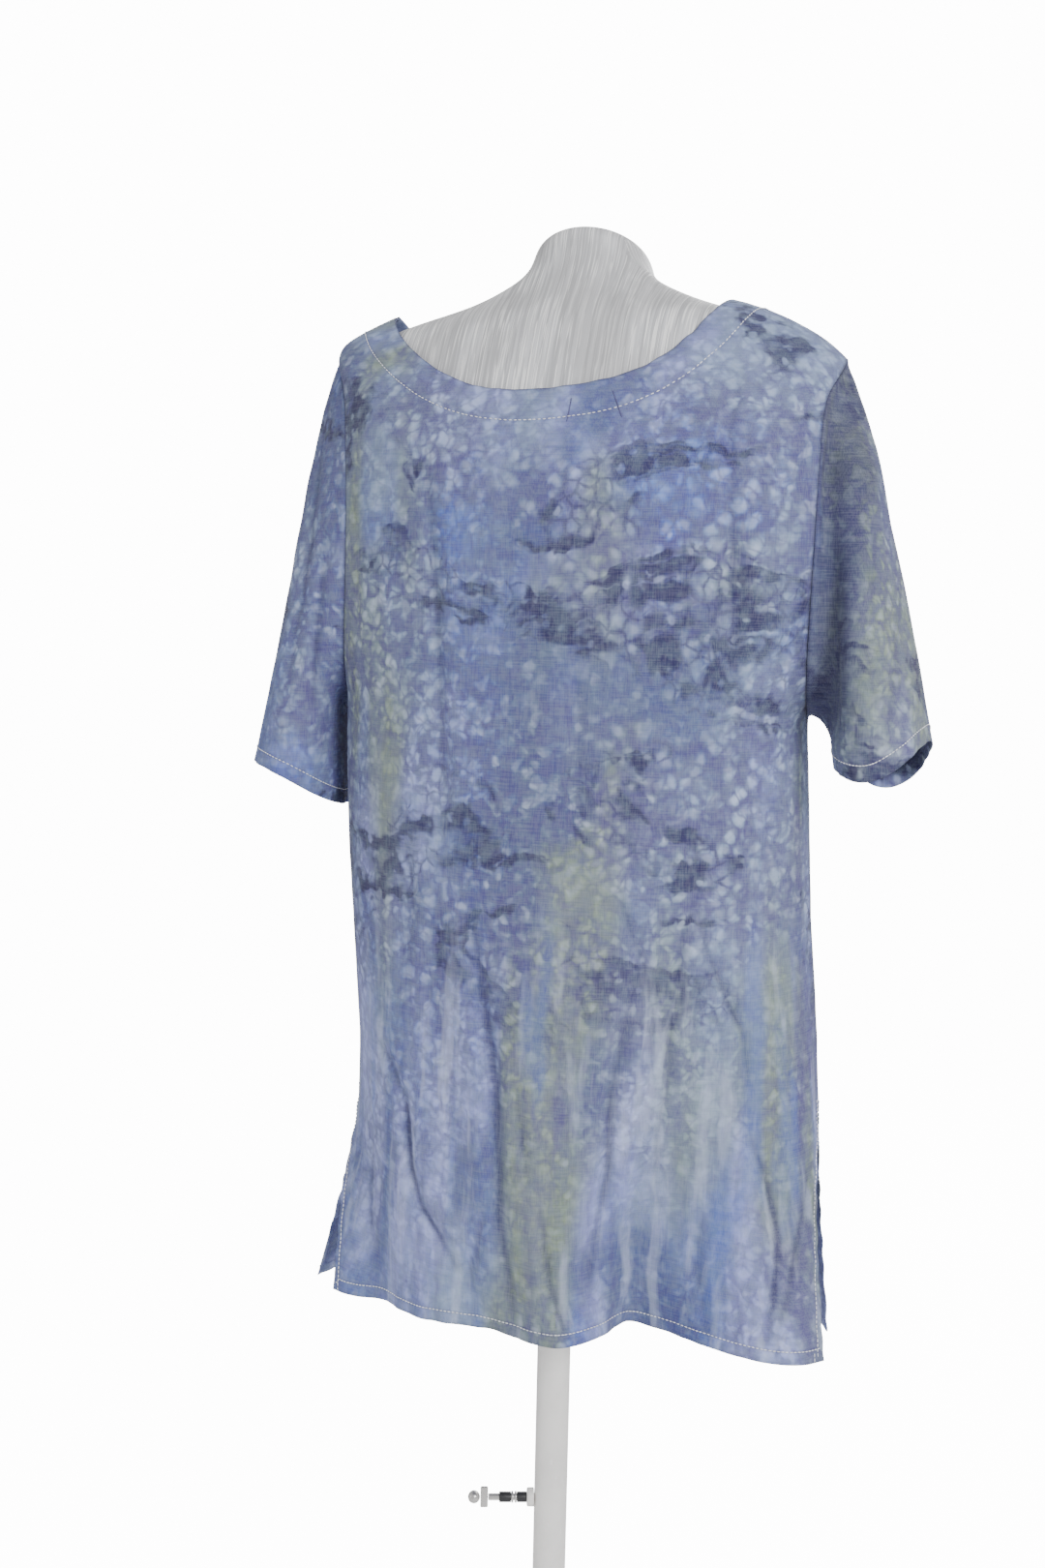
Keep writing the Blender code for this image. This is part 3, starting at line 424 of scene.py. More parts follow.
    # dark shores where the dye gathered, in places solid and in places only the bubbles' outlines
    along_shore = cloth.moved((2.0, 6.0, 1.0), (1.0, 1.0, 1.9), (0.0, 0.35, 0.0), ragged)
    shores = cloth.noise(along_shore, 5.4, 4.0, 0.62, 0.9)
    shore = cloth.times(cloth.range(shores, 0.535, 0.58), cloth.range(shores, 0.61, 0.68, 1.0, 0.0))
    shore = cloth.times(shore, cloth.range(height, 0.84, 1.00, 0.12, 1.0))
    solid = cloth.times(cloth.range(cloth.noise(ragged, 26.0, 2.0, 0.5), 0.40, 0.54), 0.92)
    filled = cloth.times(solid, cloth.range(hearts, 0.14, 0.30, 0.28, 1.0))
    dark = cloth.times(shore, cloth.sum("MAXIMUM", cloth.times(curls, 0.50), filled))
    cloth.lay(dark, INDIGO)

    # long runs near the hem, wide and thin
    wavy = cloth.ruffled(lies, 16.0, 0.014)
    drips = cloth.noise(cloth.moved((2.7, 3.1, 0.0), (58.0, 58.0, 5.0), place=wavy), 1.0, 3.0, 0.55)
    drip = cloth.times(cloth.range(drips, 0.52, 0.70, 0.0, 0.42), low_down)
    cloth.lay(drip, VIOLET)
    pale_run = cloth.times(cloth.range(drips, 0.30, 0.47, 0.30, 0.0), low_down)
    cloth.lay(pale_run, PALE)
    stream = cloth.noise(cloth.moved((6.0, 1.0, 3.0), (22.0, 22.0, 3.2), place=lies), 1.0, 3.0, 0.55)
    cloth.lay(cloth.times(cloth.range(stream, 0.56, 0.70, 0.0, 0.55), low_down), STREAM_BLUE)
    stains = cloth.noise(lies, 95.0, 4.0, 0.65)
    cloth.lay(cloth.range(stains, 0.38, 0.66, 0.0, 0.26), GREY_GREEN)
    # painted shade: darker where the point lies deep in a crease, widest at the deep fold beside the right
    # armhole
    cloth.lay(cloth.times(cloth.attribute("crease"), 0.70), INDIGO)
    if inside:
        cloth.lay(0.35, INDIGO)

    # the turned edges: a fold of double cloth up to its stitch row, which pulls small puckers; painted
    # shade in the sunk seams, in the groove along the stitch row and along the folded neck edge
    row = cloth.attribute("row")
    near_row = cloth.sum("ABSOLUTE", row, 0.0)
    turned_in = cloth.range(row, -0.0010, 0.0002, 1.0, 0.0)
    stitch_groove_and_shade = cloth.range(near_row, 0.0, 0.0022, 1.0, 0.0)
    pucker = cloth.range(near_row, 0.001, 0.012, 1.0, 0.0)
    pucker = cloth.times(pucker, cloth.noise(lies, 150.0, 1.0, 0.5))
    # painted shade: the cloth darkens towards a seam, where it sinks into a groove that the bump also
    # presses
    seam_groove_and_shade = cloth.range(cloth.attribute("seam"), FAR_OFF - 0.0030, FAR_OFF)
    cloth.lay(cloth.times(seam_groove_and_shade, 0.45), INDIGO)
    # painted shade in the groove along each stitch row, which the bump also presses down
    cloth.lay(cloth.times(stitch_groove_and_shade, 0.22), VIOLET)
    # painted shade: a thin dark line along the folded edge of the neckline
    cloth.lay(cloth.range(row, -0.0280, -0.0262, 0.75, 0.0), INDIGO)

    # the threads of a plain weave
    weft = cloth.noise(cloth.moved(scale=(THREAD_RUN, THREAD_RUN, THREADS_PER_M)), 1.0, 1.0)
    warp = cloth.noise(cloth.moved(scale=(THREADS_PER_M, THREADS_PER_M, THREAD_RUN)), 1.0, 1.0)
    weave = cloth.sum("ADD", weft, warp)
    slub = cloth.noise(cloth.moved(scale=(40.0, 40.0, 420.0)), 1.0, 3.0, 0.6)
    cloth.lay(cloth.range(weave, 0.80, 1.20, 0.0, 0.05), THREAD)
    relief = cloth.sum("ADD", cloth.times(weave, 0.22), cloth.times(slub, 0.30))
    crumple = cloth.noise(cloth.moved(scale=(1.0, 1.0, 0.55)), 62.0, 2.0, 0.5)
    relief = cloth.sum("ADD", relief, cloth.times(crumple, 2.4))
    edge = cloth.sum("SUBTRACT", cloth.sum("ADD", turned_in, cloth.times(pucker, 2.0)), stitch_groove_and_shade)
    edge = cloth.sum("SUBTRACT", edge, cloth.times(seam_groove_and_shade, 2.0))
    cloth.bump(cloth.sum("ADD", relief, edge), WEAVE_HEIGHT, 0.6)
    return cloth.finish(0.90, Sheen_Weight=0.06, Sheen_Roughness=0.5, Specular_IOR_Level=0.15)


SHIFTS = {
    "tunic_back": (0.31, 0.0, 0.12),
    "tunic_front": (4.40, 1.0, 2.70),
    "sleeve_left": (8.15, 3.0, 1.35),
    "sleeve_right": (2.66, 5.0, 3.90),
    "neck_facing": (6.05, 2.0, 0.55),
}
dyes = {name: dye("dyed_" + name, shift, name == "neck_facing") for name, shift in SHIFTS.items()}
print("dyed", len(dyes), "pieces of cloth")

# %% [markdown]
# ## From a solid wall to a cloth surface
#
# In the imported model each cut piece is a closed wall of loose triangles.  The cloth here starts from
# its outer face.  The copy is merged, the narrow rim faces between the two sides are found, and of the
# two sheets that remain the one that faces out is kept.  Its triangles join into quads, the corners of
# the cut are held, and Subdivision Surface turns the coarse sheet into a smooth one.

# %% Take the outer sheet of a cloth solid
MERGE = 1e-5
RIM_EDGE = 0.003
SHARP_TURN = math.radians(38.0)
corners = []


def islands(mesh):
    """The groups of faces that hang together, always in the same order."""
    taken, found = set(), []
    for start in mesh.faces:
        if start in taken:
            continue
        taken.add(start)
        group = [start]
        for face in group:
            for edge in face.edges:
                near = [other for other in edge.link_faces if other not in taken]
                taken.update(near)
                group.extend(near)
        found.append(group)
    return found


def faces_out(group, middle):
    """How much a sheet faces away from a point inside the garment."""
    return sum(face.calc_area() * face.normal.dot(face.calc_center_median() - middle) for face in group)


def outer_sheet(node):
    """The outer face of a cloth solid, in as many quads as its triangles give."""
    sheet = bmesh.new()
    sheet.from_mesh(NODES[node].data)
    bmesh.ops.remove_doubles(sheet, verts=sheet.verts, dist=MERGE)
    middle = sum((vert.co for vert in sheet.verts), Vector()) / len(sheet.verts)
    broad = sheet.copy()
    thin = [face for face in broad.faces if min(edge.calc_length() for edge in face.edges) < RIM_EDGE]
    bmesh.ops.delete(broad, geom=thin, context="FACES_ONLY")
    outer = max(islands(broad), key=lambda group: faces_out(group, middle))
    kept = {vert.index for face in outer for vert in face.verts}
    broad.free()
    other = [face for face in sheet.faces if not all(vert.index in kept for vert in face.verts)]
    bmesh.ops.delete(sheet, geom=other, context="FACES")
    return in_quads(sheet)


def in_quads(sheet):
    """Joins triangles in pairs, with the rule that leaves the fewest single ones."""
    tries = []
    for influence in (0.0, 0.5, 1.0, 2.0, 4.0, 8.0):
        joined = sheet.copy()
        bmesh.ops.join_triangles(
            joined, faces=joined.faces[:], angle_face_threshold=math.radians(80.0),
            angle_shape_threshold=math.radians(85.0), topology_influence=influence
        )
        tries.append((sum(len(face.verts) == 3 for face in joined.faces), influence, joined))
    tries.sort(key=lambda entry: entry[:2])
    for _, _, spare in tries[1:]:
        spare.free()
    sheet.free()
    return tries[0][2]


def loops_of(sheet):
    """Each border of an open sheet as its points in order, always from the same first edge."""
    taken, loops = set(), []
    for edge in sheet.edges:
        if edge in taken or not edge.is_boundary:
            continue
        taken.add(edge)
        loop = [edge.verts[0], edge.verts[1]]
        while True:
            onward = [e for e in loop[-1].link_edges if e.is_boundary and e not in taken]
            if not onward:
                break
            taken.add(onward[0])
            loop.append(onward[0].other_vert(loop[-1]))
        loops.append(loop[:-1] if loop[0] == loop[-1] else loop)
    return loops


def turn_at(loop, index):
    """How sharply a border turns at one of its points; the waves of a hem don't count."""
    before = loop[index].co - loop[index - 1].co
    after = loop[(index + 1) % len(loop)].co - loop[index].co
    if max(abs(before.z) / before.length, abs(after.z) / after.length) < 0.35:
        return 0.0
    return before.angle(after, 0.0)


def hold_corners(sheet, learn):
    """Pins the corners of a cut, so that smoothing doesn't round them, here or on a neighbour."""
    pin = sheet.verts.layers.float.get("crease_vert") or sheet.verts.layers.float.new("crease_vert")
    for loop in loops_of(sheet):
        for index, vert in enumerate(loop):
            known = any((vert.co - corner).length < RIM_EDGE for corner in corners)
            if known or (learn and turn_at(loop, index) > SHARP_TURN):
                vert[pin] = 1.0
                if not known:
                    corners.append(vert.co.copy())


def subdivided(sheet, levels):
    """The sheet after Subdivision Surface, as a new bmesh."""
    cage = put_in_scene("cage", sheet)
    surface = cage.modifiers.new("smooth", "SUBSURF")
    surface.levels = surface.render_levels = levels
    surface.boundary_smooth = "PRESERVE_CORNERS"
    graph = bpy.context.evaluated_depsgraph_get()
    fine = bmesh.new()
    fine.from_mesh(cage.evaluated_get(graph).to_mesh())
    mesh = cage.data
    bpy.data.objects.remove(cage)
    bpy.data.meshes.remove(mesh)
    return fine


sheets = {}
for node in ("tunic_back", "tunic_front", "sleeve_left", "sleeve_right", "neck_facing"):
    sheets[node] = outer_sheet(node)
    hold_corners(sheets[node], learn=node.startswith("tunic"))
    threes = sum(len(face.verts) == 3 for face in sheets[node].faces)
    print(node, "has", len(sheets[node].faces), "faces,", threes, "of them triangles")

# %% [markdown]
# ## The torso
#
# The display torso is a moulded shell.  Its solid has few faces, and Subdivision Surface gives it the
# round surface of the real one.  It comes before the cloth, because the cloth must stay clear of it.

# %% Smooth the torso
shell = bmesh.new()
shell.from_mesh(NODES["dress_form"].data)
bmesh.ops.remove_doubles(shell, verts=shell.verts, dist=MERGE)
torso_mesh = subdivided(in_quads(shell), 2)
torso_tree = BVHTree.FromBMesh(torso_mesh)
torso = put_in_scene("torso", torso_mesh)
torso.data.shade_smooth()
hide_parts("dress_form")
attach(torso, "dressed_form")
print("the torso has", len(torso.data.polygons), "faces")

# %% [markdown]
# ## The creases
#
# Worn cloth has two kinds of folds.  The large ones, that lift the hem in waves, are in the solids
# already.  The small ones are written down here, each with the points that it runs through, seen from
# behind or in front as x and z, its half width and its depth.  A crease is a soft trough with a low
# ridge along one side, it fades at both ends and its depth changes on the way.

# %% List the creases of the panels
BACK_CREASES = [
    # points, half width, depth, ridge beside it
    ([(-0.096, 1.373), (-0.091, 1.330), (-0.086, 1.285), (-0.079, 1.195), (-0.072, 1.100)],
     0.0065, 0.0034, 0.5),
    ([(0.150, 1.440), (0.158, 1.300), (0.167, 1.120)], 0.0070, 0.0028, -0.6),
    ([(0.040, 1.240), (0.046, 1.143), (0.044, 1.060)], 0.0070, 0.0017, 0.6),
    ([(0.146, 1.040), (0.135, 1.014), (0.129, 0.987), (0.126, 0.939), (0.120, 0.908), (0.119, 0.863),
      (0.111, 0.824), (0.109, 0.780)], 0.0042, 0.0032, 0.7),
    ([(0.142, 1.012), (0.145, 0.987), (0.163, 0.938), (0.177, 0.908), (0.182, 0.866)],
     0.0042, 0.0035, -0.7),
    ([(0.080, 1.030), (0.087, 1.001), (0.101, 0.966), (0.108, 0.925), (0.106, 0.895)], 0.0042, 0.0030, 0.7),
    ([(-0.041, 0.990), (-0.029, 0.920), (-0.018, 0.858), (-0.012, 0.795), (-0.009, 0.749), (0.001, 0.701),
      (0.007, 0.668)], 0.0080, 0.0064, -0.6),
    ([(0.092, 0.940), (0.078, 0.861), (0.076, 0.787), (0.068, 0.750), (0.064, 0.690)], 0.0060, 0.0045, 0.6),
    ([(0.028, 0.765), (0.037, 0.703), (0.051, 0.664)], 0.0044, 0.0042, -0.6),
    ([(0.004, 0.856), (0.010, 0.820), (0.017, 0.786)], 0.0046, 0.0031, 0.5),
    ([(0.050, 0.870), (0.040, 0.840), (0.028, 0.812)], 0.0060, -0.0025, 0.0),
    ([(-0.130, 0.866), (-0.106, 0.834), (-0.097, 0.776), (-0.084, 0.744), (-0.065, 0.724), (-0.048, 0.700)],
     0.0070, 0.0059, 0.6),
    ([(0.185, 0.822), (0.200, 0.785), (0.212, 0.741), (0.211, 0.700), (0.209, 0.668)],
     0.0062, 0.0059, -0.6),
    ([(0.229, 0.790), (0.227, 0.753), (0.222, 0.700), (0.216, 0.672)], 0.0046, 0.0034, 0.4),
    ([(-0.150, 0.800), (-0.152, 0.740), (-0.146, 0.690)], 0.0050, 0.0028, 0.6),
    ([(-0.110, 1.060), (-0.100, 1.010), (-0.104, 0.950)], 0.0055, 0.0021, 0.5),
    ([(-0.020, 0.760), (-0.034, 0.700), (-0.030, 0.664)], 0.0045, 0.0028, 0.5),
    ([(0.150, 0.760), (0.146, 0.710), (0.158, 0.664)], 0.0050, 0.0025, 0.5),
]
FRONT_CREASES = [
    ([(0.088, 1.360), (0.084, 1.290), (0.080, 1.190), (0.088, 1.090)], 0.0070, 0.0031, -0.5),
    ([(-0.100, 1.380), (-0.094, 1.280), (-0.098, 1.170)], 0.0070, 0.0028, 0.5),
    ([(-0.120, 1.060), (-0.108, 0.990), (-0.112, 0.900), (-0.098, 0.810)], 0.0050, 0.0036, 0.7),
    ([(-0.060, 0.960), (-0.050, 0.870), (-0.056, 0.780), (-0.044, 0.690)], 0.0060, 0.0048, -0.6),
    ([(0.020, 1.000), (0.012, 0.900), (0.020, 0.800), (0.014, 0.700)], 0.0075, 0.0053, 0.6),
    ([(0.110, 0.980), (0.104, 0.890), (0.116, 0.800), (0.112, 0.710)], 0.0055, 0.0042, 0.6),
    ([(0.150, 1.050), (0.160, 0.960), (0.170, 0.880)], 0.0048, 0.0031, -0.6),
    ([(-0.020, 0.760), (-0.010, 0.700), (-0.018, 0.650)], 0.0050, 0.0031, 0.5),
    ([(0.176, 0.800), (0.184, 0.730), (0.180, 0.660)], 0.0060, 0.0048, -0.5),
    ([(-0.160, 0.840), (-0.168, 0.760), (-0.176, 0.680)], 0.0060, 0.0048, 0.5),
]

# %% List the creases of the sleeves
BEHIND, BEFORE = -1, 1
CREASES = {
    "tunic_back": {BEHIND: BACK_CREASES},
    "tunic_front": {BEFORE: FRONT_CREASES},
    "sleeve_right": {
        BEHIND: [
            # the deep fold beside the armhole, which also gets the widest band of painted shade
            ([(0.2235, 1.425), (0.2255, 1.360), (0.2270, 1.290), (0.2285, 1.220), (0.2300, 1.165)],
             0.0115, 0.0130, 0.8),
            ([(0.252, 1.370), (0.257, 1.290), (0.260, 1.200)], 0.0060, 0.0022, -0.6),
            ([(0.276, 1.290), (0.281, 1.200), (0.277, 1.120)], 0.0060, 0.0020, 0.5),
        ],
        BEFORE: [
            ([(0.226, 1.420), (0.229, 1.320), (0.233, 1.200)], 0.0080, 0.0060, 0.8),
            ([(0.262, 1.340), (0.268, 1.220), (0.270, 1.130)], 0.0060, 0.0025, -0.5),
        ],
    },
    "sleeve_left": {
        BEHIND: [
            ([(-0.222, 1.400), (-0.225, 1.300), (-0.235, 1.180)], 0.0070, 0.0032, -0.6),
            ([(-0.205, 1.300), (-0.212, 1.160)], 0.0060, 0.0040, 0.6),
            ([(-0.250, 1.280), (-0.262, 1.180), (-0.268, 1.110)], 0.0055, 0.0018, 0.5),
        ],
        BEFORE: [
            ([(-0.216, 1.400), (-0.222, 1.300), (-0.230, 1.190)], 0.0080, 0.0052, -0.8),
            ([(-0.248, 1.330), (-0.256, 1.220), (-0.262, 1.130)], 0.0060, 0.0024, 0.5),
        ],
    },
}

# %% [markdown]
# ## Pressing the creases into the sheet
#
# Each point of the fine sheet finds its distance to every crease and moves along its own normal.  The
# same loop adds a slow unevenness, stretched upright as hanging cloth has it, and writes how deep the
# point lies in a crease and how near it lies to a seam, which the material turns into painted shade.
# Near a seam all of this fades out, so that neighbours still meet.  Near an open edge, where a row of
# stitches pulls on the cloth, it gets small waves instead, and each point learns how far it lies from
# that row.

# %% Move the points


def reach(point, route):
    """Signed distance from a point to a route, and how far along the route it lies, from 0 to 1."""
    lengths = [(Vector(b) - Vector(a)).length for a, b in zip(route, route[1:])]
    total, gone, best = sum(lengths), 0.0, (1e9, 0.0)
    for (ax, az), (bx, bz), length in zip(route, route[1:], lengths):
        along = ((point[0] - ax) * (bx - ax) + (point[1] - az) * (bz - az)) / length**2
        held = min(1.0, max(0.0, along))
        dx, dz = point[0] - ax - held * (bx - ax), point[1] - az - held * (bz - az)
        side = math.copysign(1.0, (bx - ax) * dz - (bz - az) * dx)
        away = math.hypot(dx, dz)
        if away < abs(best[0]):
            best = (side * away, (gone + held * length) / total)
        gone += length
    return best


STITCH_ROW = {"neck": 0.028, "hem": 0.010, "slit": 0.0065, "cuff": 0.013}
SLIT_TOP = {"left": 0.868, "right": 0.842}
DEEP_FOLD = 0.008
EDGE_STEP = 0.0015
SEAM_FADE = 0.010
EDGE_WAVE = 0.026
EDGE_LIFT = 0.0008
EDGE_DROP = 0.0016
EDGE_REACH = 0.010
CREASE_REACH = 5
RIDGE_AT = 2.2
SIDE_REACH = 0.15
FULL_SHADE_DEPTH = 0.004
UNEVENNESS = [
    # share of the piece's unevenness, waves a metre across and upright, and where the noise starts
    (1.0, 16, 5, (0, 0)),
    (0.5, 42, 11, (9, 0)),
    (0.28, 90, 40, (0, 5)),
]
YOKE = 1.385
UNDERSIDE = -0.3


def evenly(points, step):
    """Places along a line, one every step."""
    places, left = [], 0.0
    for a, b in zip(points, points[1:]):
        length = (b - a).length
        while left <= length and length > 0:
            places.append((a.lerp(b, left / length), (b - a).normalized()))
            left += step
        left -= length
    return places


def borders(name, sheet):
    """The borders of a sheet, cut at its corners, each with its kind: neck, hem, slit, cuff or seam."""
    found = []
    for loop in loops_of(sheet):
        points = [vert.co.copy() for vert in loop]
        if name.startswith("sleeve"):
            middle = sum(points, Vector()) / len(points)
            found.append(("cuff" if middle.z < 1.2 else "seam", points + points[:1]))
            continue
        at = [i for i, p in enumerate(points) if any((p - c).length < 0.004 for c in corners)]
        at = [i for n, i in enumerate(at) if n == 0 or i - at[n - 1] > 2]
        for first, last in zip(at, at[1:] + [at[0] + len(points)]):
            run = [points[i % len(points)] for i in range(first, last + 1)]
            across = abs(run[-1].x - run[0].x) > 0.2
            if across:
                found.append(("neck" if run[0].z > 1.3 else "hem", run))
            elif min(p.z for p in run) > 0.8:
                found.append(("seam", run))
            else:
                top = SLIT_TOP["left" if run[0].x < 0 else "right"]
                found.append(("slit", [p for p in run if p.z <= top]))
                found.append(("seam", [p for p in run if p.z > top]))
    return [(kind, run) for kind, run in found if len(run) > 1]


def nearest_of(places):
    """A tree that finds the nearest of these places."""
    tree = KDTree(len(places))
    for index, place in enumerate(places):
        tree.insert(place, index)
    tree.balance()
    return tree


def edge_trees(name, sheet):
    """For each kind of border, the tree of places along it."""
    dots = {}
    for kind, run in borders(name, sheet):
        dots.setdefault(kind, []).extend(place for place, _ in evenly(run, EDGE_STEP))
    return {kind: nearest_of(places) for kind, places in dots.items()}


def press(name, sheet, uneven):
    """Presses a piece's creases into it, gives it a slow unevenness and waves at its open edges."""
    deep = sheet.verts.layers.float.new("crease")
    row = sheet.verts.layers.float.new("row")
    seam = sheet.verts.layers.float.new("seam")
    trees = edge_trees(name, sheet)
    sheet.normal_update()
    moves = {}
    for vert in sheet.verts:
        x, y, z = vert.co
        lift = 0.0
        for share, across, upright, (aside_x, aside_y) in UNEVENNESS:
            spot = Vector((x * across + aside_x, y * across + aside_y, z * upright))
            lift += share * uneven * noise.noise(spot)
        for side, creases in CREASES[name].items():
            facing = min(1.0, max(0.0, 2.5 * side * vert.normal.y))
            for route, width, depth, ridge in creases if facing else []:
                low = min(p[1] for p in route) - 4 * width
                if not low < z < route[0][1] + 4 * width or abs(x - route[0][0]) > SIDE_REACH:
                    continue
                away, along = reach((x, z), route)
                if abs(away) > CREASE_REACH * width:
                    continue
                fade = facing * math.sin(math.pi * (0.06 + 0.88 * along)) ** 0.7
                fade *= 0.85 + 0.45 * noise.noise(Vector((along * 6, depth * 900, width * 500)))
                trough = math.exp(-((away / width) ** 2))
                shoulder = math.exp(-((away / width - math.copysign(RIDGE_AT, ridge)) ** 2) / RIDGE_AT)
                lift += fade * depth * (abs(ridge) * shoulder - trough)
                # how deep the point lies in a crease, kept for the material to paint shade there; a deep
                # fold gets a wider band of painted shade
                if depth > 0:
                    narrow = 2.2 if depth < DEEP_FOLD else 0.55
                    dent = fade * math.exp(-((away / width * narrow) ** 2)) * depth / FULL_SHADE_DEPTH
                    vert[deep] = max(vert[deep], min(1.0, dent))
        nearest_row, drop = FAR_OFF, 0.0
        for kind, tree in trees.items():
            _, index, away = tree.find(vert.co)
            if kind == "seam":
                vert[seam] = max(vert[seam], FAR_OFF - away)
                share = min(1.0, away / SEAM_FADE)
                lift *= share * share * (3 - 2 * share)
                continue
            nearest_row = min(nearest_row, away - STITCH_ROW[kind])
            gone = index * EDGE_STEP
            swing = math.sin(math.tau * gone / EDGE_WAVE + 4 * noise.noise(Vector((gone * 25, 0, 3))))
            close = math.exp(-((away / EDGE_REACH) ** 2))
            lift += EDGE_LIFT * close * swing * (0.6 + noise.noise(Vector((gone * 12, 7, 0))))
            if kind in ("hem", "cuff"):
                drop += EDGE_DROP * close * noise.noise(Vector((gone * 26, 2, 1)))
        vert[row] = nearest_row
        moves[vert] = vert.normal * lift + Vector((0.0, 0.0, drop))
    for vert, move in moves.items():
        vert.co += move


def keep_clear(sheet, tree, gap, rounds=2):
    """Lifts any point that lies nearer than the gap to what is under the cloth, but for its underside."""
    lifted = 0
    for _ in range(rounds):
        for vert in sheet.verts:
            spot, normal, _, away = tree.find_nearest(vert.co, 0.03)
            if spot is None or normal.z < UNDERSIDE:
                continue
            height = (vert.co - spot).dot(normal)
            if height < gap and (away < gap or height < 0):
                vert.co += normal * (gap - height)
                lifted += 1
    return lifted


def relax(sheet, rounds, share=0.5):
    """Evens the sheet between its borders."""
    free = [vert for vert in sheet.verts if not vert.is_boundary]
    for _ in range(rounds):
        bmesh.ops.smooth_vert(
            sheet, verts=free, factor=share, use_axis_x=True, use_axis_y=True, use_axis_z=True
        )


def creased_edges(sheet):
    """The edges below the yoke, where the creases are: the flat cloth above needs no finer faces."""
    return [edge for edge in sheet.edges if min(vert.co.z for vert in edge.verts) < YOKE]


# %% Make the cloth pieces
CLOTH_THICKNESS = 0.0008
FORM_GAP = 0.0022
PANEL_LEVELS = {"tunic_back": 2, "tunic_front": 2, "sleeve_left": 3, "sleeve_right": 3, "neck_facing": 3}
UNEVEN = {"tunic_back": 0.0014, "tunic_front": 0.0014, "sleeve_left": 0.0012, "sleeve_right": 0.0012}
cloth = {}
for node, sheet in sheets.items():
    fine = subdivided(sheet, PANEL_LEVELS[node])
    if node.startswith("tunic"):
        bmesh.ops.subdivide_edges(fine, edges=creased_edges(fine), cuts=1, use_grid_fill=True)
        relax(fine, 2)
    if node in UNEVEN:
        press(node, fine, UNEVEN[node])
        relax(fine, 1, 0.3)
    moved = keep_clear(fine, torso_tree, FORM_GAP) if node != "neck_facing" else 0
    for face in fine.faces:
        face.smooth = True
    cloth[node] = put_in_scene(node + "_cloth", fine)
    cloth[node].data.materials.append(dyes[node])
    wall = cloth[node].modifiers.new("wall", "SOLIDIFY")
    wall.thickness = CLOTH_THICKNESS
    wall.offset = -1.0
    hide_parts(node)
    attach(cloth[node], "dressed_form")
    print(node, len(cloth[node].data.polygons), "faces,", moved, "points lifted off the torso")

# %% [markdown]
# ## The stitches
#
# Pale thread runs 28 mm below the neckline, where it holds the facing, and along the turned hems of the
# body, the slits and the cuffs.  Each row starts on the cloth's border and steps inward over the surface,
# so that it stays parallel to the edge.  A stitch is a short grain of thread, and all the stitches of a
# piece are one mesh.

# %% Sew the rows
STITCH_LENGTH = 0.0034
STITCH_STEP = 0.0036
STITCH_WIDTH = 0.0010
STEP_IN = 0.003
JOIN_STEP = 0.0022
JOINS = [
    # the facing's two joins, seen through the cloth from behind
    [(0.057, 1.417), (0.066, 1.397)],
    [(0.024, 1.411), (0.023, 1.393)],
]


def row_inside(tree, border, inset):
    """A row of stitches at a distance inside a border: each one's place, its direction and its normal."""
    row = []
    for place, along in evenly(border, STITCH_STEP):
        spot, normal, _, _ = tree.find_nearest(place)
        inward = normal.cross(along).normalized()
        if (tree.find_nearest(spot + inward * 0.004)[3]) > (tree.find_nearest(spot - inward * 0.004)[3]):
            inward.negate()
        gone = 0.0
        while gone < inset:
            step = min(STEP_IN, inset - gone)
            spot, normal, _, _ = tree.find_nearest(spot + inward * step)
            inward = (inward - normal * inward.dot(normal)).normalized()
            gone += step
        row.append((spot, (along - normal * along.dot(normal)).normalized(), normal))
    return row


def sew(name, rows):
    """One mesh of all the stitches in these rows."""
    thread = bmesh.new()
    for spot, along, normal in (stitch for row in rows for stitch in row):
        turn = Matrix((along, normal.cross(along), normal)).transposed().to_4x4()
        shape = Matrix.Diagonal((STITCH_LENGTH / 2, STITCH_WIDTH / 2, STITCH_WIDTH / 2, 1.0))
        place = Matrix.Translation(spot + normal * STITCH_WIDTH * 0.25)
        bmesh.ops.create_icosphere(thread, subdivisions=1, radius=1.0, matrix=place @ turn @ shape)
    for face in thread.faces:
        face.smooth = True
    made = put_in_scene(name, thread)
    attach(made, "dressed_form")
    return made


def thread_finish(name, colour):
    """Cotton thread with a soft ply, a little worn in places."""
    cotton = Recipe(name)
    worn = cotton.noise(cotton.place, 240.0, 2.0, 0.5)
    ply = cotton.noise(cotton.place, 2600.0, 1.0, 0.5)
    cotton.bump(ply, 0.0002, 0.5)
    duller = tuple(channel * 0.72 for channel in colour[:3]) + (1.0,)
    cotton.colour = cotton.mix(cotton.range(worn, 0.35, 0.65), duller, colour)
    return cotton.finish(0.7, Sheen_Weight=0.2)


def join_row(tree, route):
    """A short sewn line on the back, from two points of its view from behind."""
    ends = [tree.ray_cast(Vector((x, -1.0, z)), Vector((0.0, 1.0, 0.0)))[0] for x, z in route]
    row = []
    for place, along in evenly(ends, JOIN_STEP):
        spot, normal, _, _ = tree.find_nearest(place)
        row.append((spot, (along - normal * along.dot(normal)).normalized(), normal))
    return row


